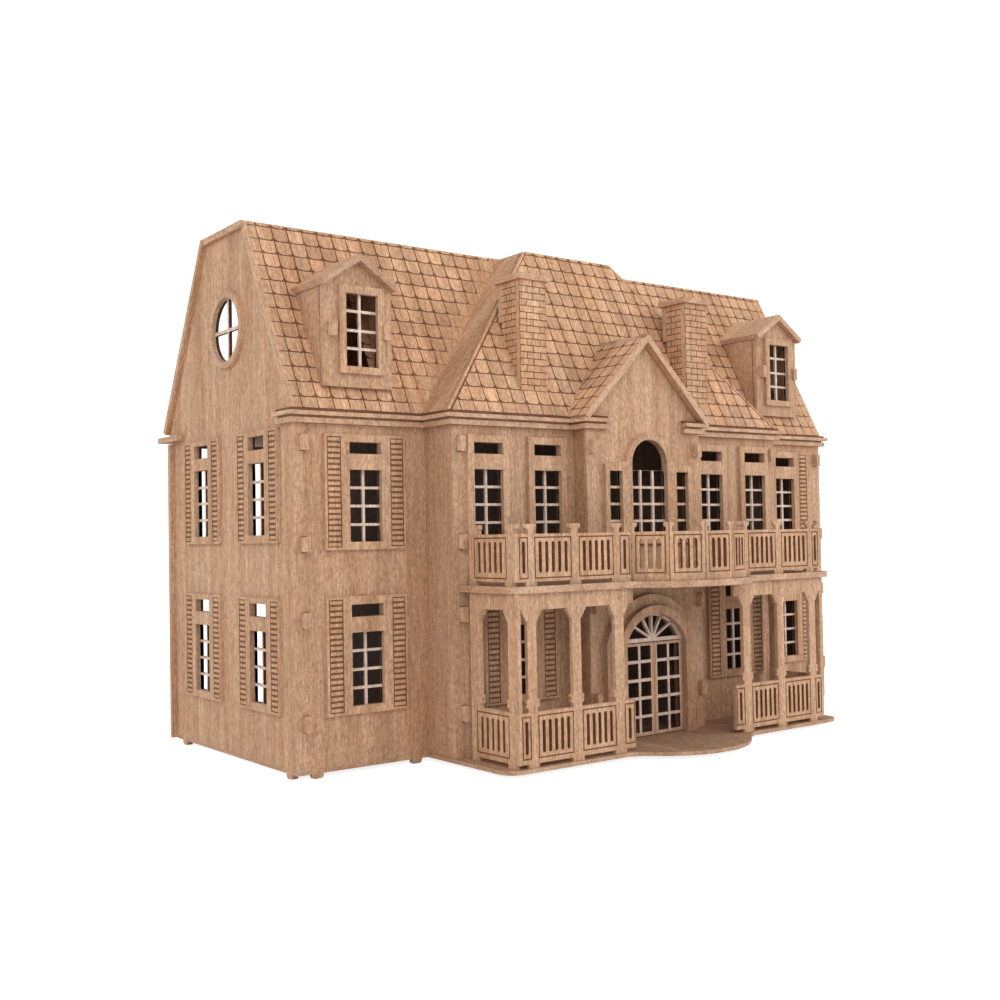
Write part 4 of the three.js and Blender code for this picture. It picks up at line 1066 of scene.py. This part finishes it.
def add_roof():
    length = (ROOF_TOP - ROOF_FOOT) * SLOPE
    rows = roof_rows(length + 0.3)

    for side, flip in (("left", False), ("right", True)):
        board = slope_board(0, WING_FOOT_Y)
        outline = [(-ROOF_X, 0), (-108.6, 0), (-27, length), (-ROOF_X, length)]
        hatch = rect(-157.5, 16, -129.5, 58)
        board.plate(all_flipped([outline, hatch], flip), -BOARD, -ENGRAVED, top=CHAR)
        first = -173.2
        region = [(first, -1), (-116.5, -1), (-34.5, length), (first, length)]
        tiles = tile_field(region, first, 20, rows, False)
        tiles = [tile for tile in tiles if tile]
        margin = rect(-ROOF_X, 0, -173.4, length)
        dashes = [rect(-177.4, low - 0.25, -173.41, low + 0.25) for low, _ in rows[1:]]
        board.plate([flipped(loop, flip) for loop in [margin, *dashes]], -ENGRAVED, 0,
                    charred=range(1, len(dashes) + 1))
        covered = {}
        for tile in tiles:
            row = round(min(point[1] for point in tile), 1)
            covered[row] = max(covered.get(row, -999), max(point[0] for point in tile))
        hidden = rect(-161, 12, -126, 61)
        kept = [tile for tile in tiles if not all(inside(point, hidden) for point in tile)]
        board.tiles(all_flipped(kept, flip))
        for number, (low, high) in enumerate(rows):
            levels = (point[1] for tile in tiles for point in tile if low - 0.1 < point[1] < high)
            row = round(min(levels, default=low), 1)
            end = covered.get(row, None)
            if end is None:
                continue
            start = end + LINE
            bottom = low + (0.25 if number else 0)
            patch = [(start, bottom), (slant(bottom, -108.6, -27, length), bottom),
                     (slant(high, -108.6, -27, length), high), (start, high)]
            if patch[1][0] - start > 0.5:
                board.plate([flipped(patch, flip)], -ENGRAVED, 0)
        board.build(f"wing_roof_{side}_board", ROOF, replaces=(f"wing_roof_{side}",), slot="roof_ply")

        sign = 1 if flip else -1
        up = Vector((-sign * (112 - 30), 0, ROOF_TOP - ROOF_FOOT))
        rise = up.length
        strip = Board((sign * 112, 0, ROOF_FOOT), Y_AXIS * sign, up.normalized(), 0.46)
        y_foot, y_head = BUMP_FOOT_Y + 3.2, BUMP_FOOT_Y + 3.2 + (ROOF_TOP - ROOF_FOOT) * FRONT_RUN
        y_back, y_top = WING_FOOT_Y, WING_FOOT_Y + (ROOF_TOP - ROOF_FOOT) * FRONT_RUN
        outline = [(y_foot, 0), (y_back, 0), (y_top, rise), (y_head, rise)]
        strip.plate([turned(outline, sign)], -BOARD, -0.2, top=CHAR)
        width = (y_back - y_foot) / 9
        for i in range(9):
            start, lean = y_foot + i * width, y_head - y_foot
            slat = [(start + 0.22, 0), (start + width - 0.22, 0), (start + width - 0.22 + lean, rise),
                    (start + 0.22 + lean, rise)]
            strip.plate([turned(slat, sign)], -0.2, 0)
        strip.build(f"centre_roof_side_{side}_board", ROOF, replaces=(f"centre_roof_side_{side}",),
                    slot="roof_ply")

    bump = slope_board(0, BUMP_FOOT_Y, 0.57)
    half = [(112, 0), (30, length)]
    bump.plate([[*half, *mirror(half)]], -BOARD, -ENGRAVED, top=CHAR)
    edge = 1.6
    for flip in (False, True):
        border = [(112 - edge + 0.25, 0), (112, 0), (30, length), (30 - edge + 0.25, length)]
        bump.plate([flipped(border, flip)], -ENGRAVED, 0)
    low_x, high_x = 112 - edge - 0.25, 30 - edge - 0.25
    region = [(-low_x, -1), (low_x, -1), (high_x, length), (-high_x, length)]
    bump.tiles(tile_field(region, -112, 28, rows))
    bump.build("centre_roof_front_board", ROOF, replaces=("centre_roof_front",), slot="roof_ply")

    back_slope = math.hypot(1, BACK_RUN)
    back_length = (ROOF_TOP - ROOF_FOOT) * back_slope
    up = Vector((0, -BACK_RUN, 1)).normalized()
    back = Board((0, BACK_FOOT_Y - (ROOF_FOOT - EAVE) * BACK_RUN, ROOF_FOOT), -X_AXIS, up, 0.5)
    attic_low, attic_high = (175 - ROOF_FOOT) * back_slope, (238 - ROOF_FOOT) * back_slope
    attics = [rect(115, attic_low, 168, attic_high), rect(-168, attic_low, -115, attic_high)]
    back.plate([rect(-BACK_X, 0, BACK_X, back_length), *attics], -BOARD, -ENGRAVED, top=CHAR)
    for start, end in ((-BACK_X, -176.3), (176.3, BACK_X)):
        back.plate([rect(start, 0, end, back_length)], -ENGRAVED, 0)
    region = rect(-176, -1, 176, back_length)
    back_rows = [(low * back_slope / SLOPE, high * back_slope / SLOPE) for low, high in rows]
    row_low = max(low for low, _ in back_rows if low < attic_low)
    row_high = min(high for _, high in back_rows if high > attic_high)
    for flip in (False, True):
        borders = [rect(112.3, row_low + 0.3, 115, row_high - 0.3)]
        borders.append(rect(115, row_low + 0.3, 167.7, attic_low))
        borders.append(rect(115, attic_high, 167.7, row_high - 0.3))
        for border in borders:
            back.plate([flipped(border, flip)], -ENGRAVED, 0)
    kept = []
    for tile in tile_field(region, -176, 44, back_rows):
        a = sum(abs(point[0]) for point in tile) / len(tile)
        b = sum(point[1] for point in tile) / len(tile)
        if not (112 < a < 168 and row_low < b < row_high):
            kept.append(tile)
    back.tiles(kept)
    back.build("roof_back_board", ROOF, replaces=("roof_back",), slot="roof_ply")

    top = level_at(ROOF_TOP, 0.56)
    front_edge = WING_FOOT_Y + (ROOF_TOP - ROOF_FOOT) * FRONT_RUN + 0.1
    bump_edge = BUMP_FOOT_Y + (ROOF_TOP - ROOF_FOOT) * FRONT_RUN + 0.1
    back_edge = BACK_FOOT_Y - (ROOF_TOP - EAVE) * BACK_RUN - 0.1
    plan = [(30, bump_edge), (30, front_edge), (180, front_edge), (180, back_edge)]
    top.plate([both_sides(plan)])
    top.build("roof_top_board", ROOF, replaces=("roof_top",), slot="roof_ply")


def add_centre_gable_roof():
    root = math.sqrt(0.5)
    apex = 42.3 / root
    for side, sign in (("left", -1), ("right", 1)):
        up = Vector((-sign * root, 0, root))
        board = Board((sign * 42.3, 0, 158.5), Y_AXIS * sign, up, 0.55)
        front_y = -37 - 0.04 * sign

        def back_y(b):
            return BUMP_FOOT_Y + (158.5 + b * root - ROOF_FOOT) * FRONT_RUN

        outline = [(front_y, 0), (back_y(0), 0), (back_y(apex), apex), (front_y, apex)]
        board.plate([turned(outline, sign)], -BOARD, -ENGRAVED, top=CHAR)
        step = 7.05 / root * 0.79
        edges = [0.0] + [5.2 + step * i for i in range(7)] + [apex]
        rows = list(zip(edges, edges[1:]))
        first = -31.2
        margin = [(front_y, 0), (first - 0.25, 0), (first - 0.25, apex), (front_y, apex)]
        dashes = [rect(-35.4, low - 0.25, first - 0.26, low + 0.25) for low, _ in rows[1:]]
        board.plate([turned(loop, sign) for loop in [margin, *dashes]], -ENGRAVED, 0,
                    charred=range(1, len(dashes) + 1))
        region = [(first, -1), (back_y(-1), -1), (back_y(apex), apex), (first, apex)]
        board.tiles([turned(tile, sign) for tile in tile_field(region, first, 6, rows) if tile])
        node_name = f"centre_gable_roof_{side}"
        board.build(f"{node_name}_board", ROOF, replaces=(node_name,), slot="roof_ply")


DORMER_WINDOW_X = {"left": -142.0, "right": 144.2}


def add_dormers():
    for side, sign in (("left", -1), ("right", 1)):
        c = sign * DORMER_X
        wall = front_at(2.5, 0.52)
        outline = [(c - 17.85, 169.4), (c + 17.85, 169.4), (c + 17.85, 216.6), (c, 226.2), (c - 17.85, 216.6)]
        middle = DORMER_WINDOW_X[side]
        opening = rect(middle - 8.3, 178.7, middle + 8.3, 211.8)
        wall.plate([outline, opening], -SHEET)
        wall.build(f"dormer_{side}_front", WALL, replaces=(f"dormer_box_{side}",), slot="wall_ply")
        trim = front_at(2.5 - TRIM, 0.58)
        trim.plate([rect(middle - 11.65, 175.5, middle + 11.65, 215.3), opening], -TRIM - 0.02)
        trim.build(f"dormer_{side}_trim", WALL, slot="wall_ply")
        bars = front_at(2.5, 0.62)
        sash(bars, middle, 8.3, 178.7, 211.8, (187.1, 195.3, 204.1), 2)
        bars.build(f"dormer_{side}_sash", BARS, slot="wall_ply")
        for x0 in (c - 15.2, c + 12.1):
            tab = front_at(2.5, 0.55)
            tab.plate([round_rect(x0, 191.7, x0 + 3.1, 198.6, 0.5)], -2.9, TAB_OUT)
            tab.build(f"dormer_{side}_tab_{'ab'[x0 > c]}", WALL, slot="wall_ply")
        for way in (-1, 1):
            cheek = side_at(c + way * 17.8, way, 0.45)
            low = 5.5
            z_low = ROOF_FOOT + (low - WING_FOOT_Y) / FRONT_RUN
            y_high = WING_FOOT_Y + (217 - ROOF_FOOT) * FRONT_RUN
            cheek.plate([turned([(low, z_low - 1), (y_high + 0.4, 217), (low, 217)], way)])
            cheek.build(f"dormer_{side}_cheek_{'ab'[way > 0]}", WALL, slot="wall_ply")
            rise = Vector((-way * 20, 0, 13.2))
            roof = Board((c + way * 20, 0, 216.8), Y_AXIS * way, rise.normalized(), 0.5)
            span = rise.length
            y0 = 2.5 - 3.6 - 0.04 * way

            def back_y(b, lift=0.6):
                return WING_FOOT_Y + (216.8 + b * 13.2 / span - ROOF_FOOT) * FRONT_RUN + lift

            roof.plate([turned([(y0, 0), (back_y(0), 0), (back_y(span), span), (y0, span)], way)], -2.9)
            piece = roof.build(f"dormer_{side}_roof_{'ab'[way > 0]}", WALL, slot="roof_ply")
            if way > 0:
                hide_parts(f"dormer_roof_{side}")


def brick_rows(low, high, left, right, shift):
    """Running bond between two heights, as rectangles with a joint round each."""
    bricks = []
    pitch = 3.2
    rows = int((high - low) / pitch) + 1
    for row in range(rows):
        top = high - row * pitch
        start = left - (4.1 if (row + shift) % 2 else 0)
        while start < right - 0.5:
            x0 = max(start, left) + (0.2 if start > left - 0.1 else 0)
            x1 = min(start + 8.2, right)
            bricks.append(rect(x0, top - pitch + 0.22, x1 - (0.2 if x1 < right - 0.1 else 0), top - 0.22))
            start += 8.2
    return bricks


def add_chimneys():
    for side, sign in (("left", -1), ("right", 1)):
        c = sign * CHIMNEY_X
        y0, y1, top = -16.0, 1.5, 224.9

        def slope_z(y):
            return ROOF_FOOT + (y - BUMP_FOOT_Y) / FRONT_RUN - 0.4

        faces = []
        faces.append((front_at(y0, 0.55), rect(c - 8.2, slope_z(y0), c + 8.2, top), "front", 0))
        back = Board((0, y1, 0), -X_AXIS, Z_AXIS, 0.5)
        faces.append((back, rect(-c - 8.2, slope_z(y1), -c + 8.2, top), "back", 1))
        for way in (-1, 1):
            board = side_at(c + way * 8.2, way, 0.5)
            region = [(y0 + BOARD, slope_z(y0 + BOARD)), (y1 - BOARD, slope_z(y1 - BOARD)), (y1 - BOARD, top),
                      (y0 + BOARD, top)]
            faces.append((board, turned(region, way), "ab"[way > 0], 1))
        for board, region, label, shift in faces:
            board.plate([region], -BOARD, -ENGRAVED, top=CHAR)
            xs = [point[0] for point in region]
            bricks = brick_rows(min(point[1] for point in region), top, min(xs), max(xs), shift)
            board.tiles([clip(brick, region) for brick in bricks], spread=0.08)
            piece = board.build(f"chimney_{side}_{label}", ROOF, slot="wall_ply")
            if label == "front":
                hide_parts(f"chimney_{side}")
        lid = level_at(227.8, 0.58)
        lid.plate([rect(c - 9.6, y0 - 1.4, c + 9.6, y1 + 1.4)])
        lid.build(f"chimney_{side}_cap", ROOF, slot="wall_ply")


add_floors()
add_gables()
for name, flip_side in (("left", False), ("right", True)):
    add_wing_front(name, flip_side)
    add_step_walls(name, flip_side)
add_partitions()
add_inner_returns()
add_centre()
add_doorway()
add_leaves()
add_balcony()
add_porch()
add_back_frame()
add_roof()
add_centre_gable_roof()
add_dormers()
add_chimneys()


# ---------------------------------------------------------------- studio

def add_floor_stage():
    bpy.ops.mesh.primitive_plane_add(size=12, location=(0, 0, 0))
    floor = bpy.context.object
    floor.name = "studio_floor"
    material = bpy.data.materials.new("studio_white")
    material.use_nodes = True
    shader = material.node_tree.nodes["Principled BSDF"]
    shader.inputs["Base Color"].default_value = (0.92, 0.92, 0.92, 1)
    shader.inputs["Roughness"].default_value = 0.9
    shader.inputs["Emission Color"].default_value = (1, 1, 1, 1)
    tree = material.node_tree
    rays = node(tree, "ShaderNodeLightPath")
    glow = node(tree, "ShaderNodeMath", operation="MULTIPLY")
    glow.inputs[1].default_value = 0.85
    tree.links.new(rays.outputs["Is Camera Ray"], glow.inputs[0])
    tree.links.new(glow.outputs["Value"], shader.inputs["Emission Strength"])
    floor.data.materials.append(material)


def add_light(name, place, target, size, power):
    lamp = bpy.data.lights.new(name, "AREA")
    lamp.shape = "SQUARE"
    lamp.size = size
    lamp.energy = power
    holder = bpy.data.objects.new(name, lamp)
    holder.location = place
    aim = Vector(target) - Vector(place)
    holder.rotation_euler = aim.to_track_quat("-Z", "Y").to_euler()
    bpy.context.scene.collection.objects.link(holder)


def add_world():
    world = bpy.data.worlds.new("studio_world")
    bpy.context.scene.world = world
    world.use_nodes = True
    tree = world.node_tree
    sky = tree.nodes["Background"]
    sky.inputs["Color"].default_value = (1, 1, 1, 1)
    rays = node(tree, "ShaderNodeLightPath")
    level = node(tree, "ShaderNodeMapRange")
    level.inputs["To Min"].default_value = 0.42
    level.inputs["To Max"].default_value = 1.2
    tree.links.new(rays.outputs["Is Camera Ray"], level.inputs["Value"])
    tree.links.new(level.outputs["Result"], sky.inputs["Strength"])


def add_camera():
    """The view of the left end and front, a little above the base and tipped slightly up."""
    yaw, pitch, roll = math.radians(36.94), math.radians(1.71), math.radians(-1.07)
    forward = Vector((math.sin(yaw) * math.cos(pitch), math.cos(yaw) * math.cos(pitch), math.sin(pitch)))
    across = Vector((math.cos(yaw), -math.sin(yaw), 0))
    upward = across.cross(forward)
    right = across * math.cos(roll) + upward * math.sin(roll)
    above = upward * math.cos(roll) - across * math.sin(roll)
    lens = bpy.data.cameras.new("view")
    lens.sensor_width = 36
    lens.lens = 42.85
    lens.clip_start = 0.01
    camera = bpy.data.objects.new("view", lens)
    turn = Matrix((right, above, -forward)).transposed().to_4x4()
    place = Vector((-0.4155, -0.4957, 0.1040))
    camera.matrix_world = Matrix.Translation(place) @ turn
    bpy.context.scene.collection.objects.link(camera)
    bpy.context.scene.camera = camera


add_floor_stage()
add_world()
add_light("key", (-1.0, -1.5, 1.25), (0, 0, 0.12), 1.3, 13.2)
add_light("fill", (1.3, -1.3, 0.8), (0, 0, 0.12), 1.2, 12.5)
add_light("top", (0.1, -0.4, 1.9), (0, 0, 0.1), 1.4, 9)
add_light("end", (-1.5, 0.4, 0.9), (-0.18, 0.05, 0.14), 0.8, 7.5)
add_camera()
bpy.context.scene.view_settings.view_transform = "Standard"
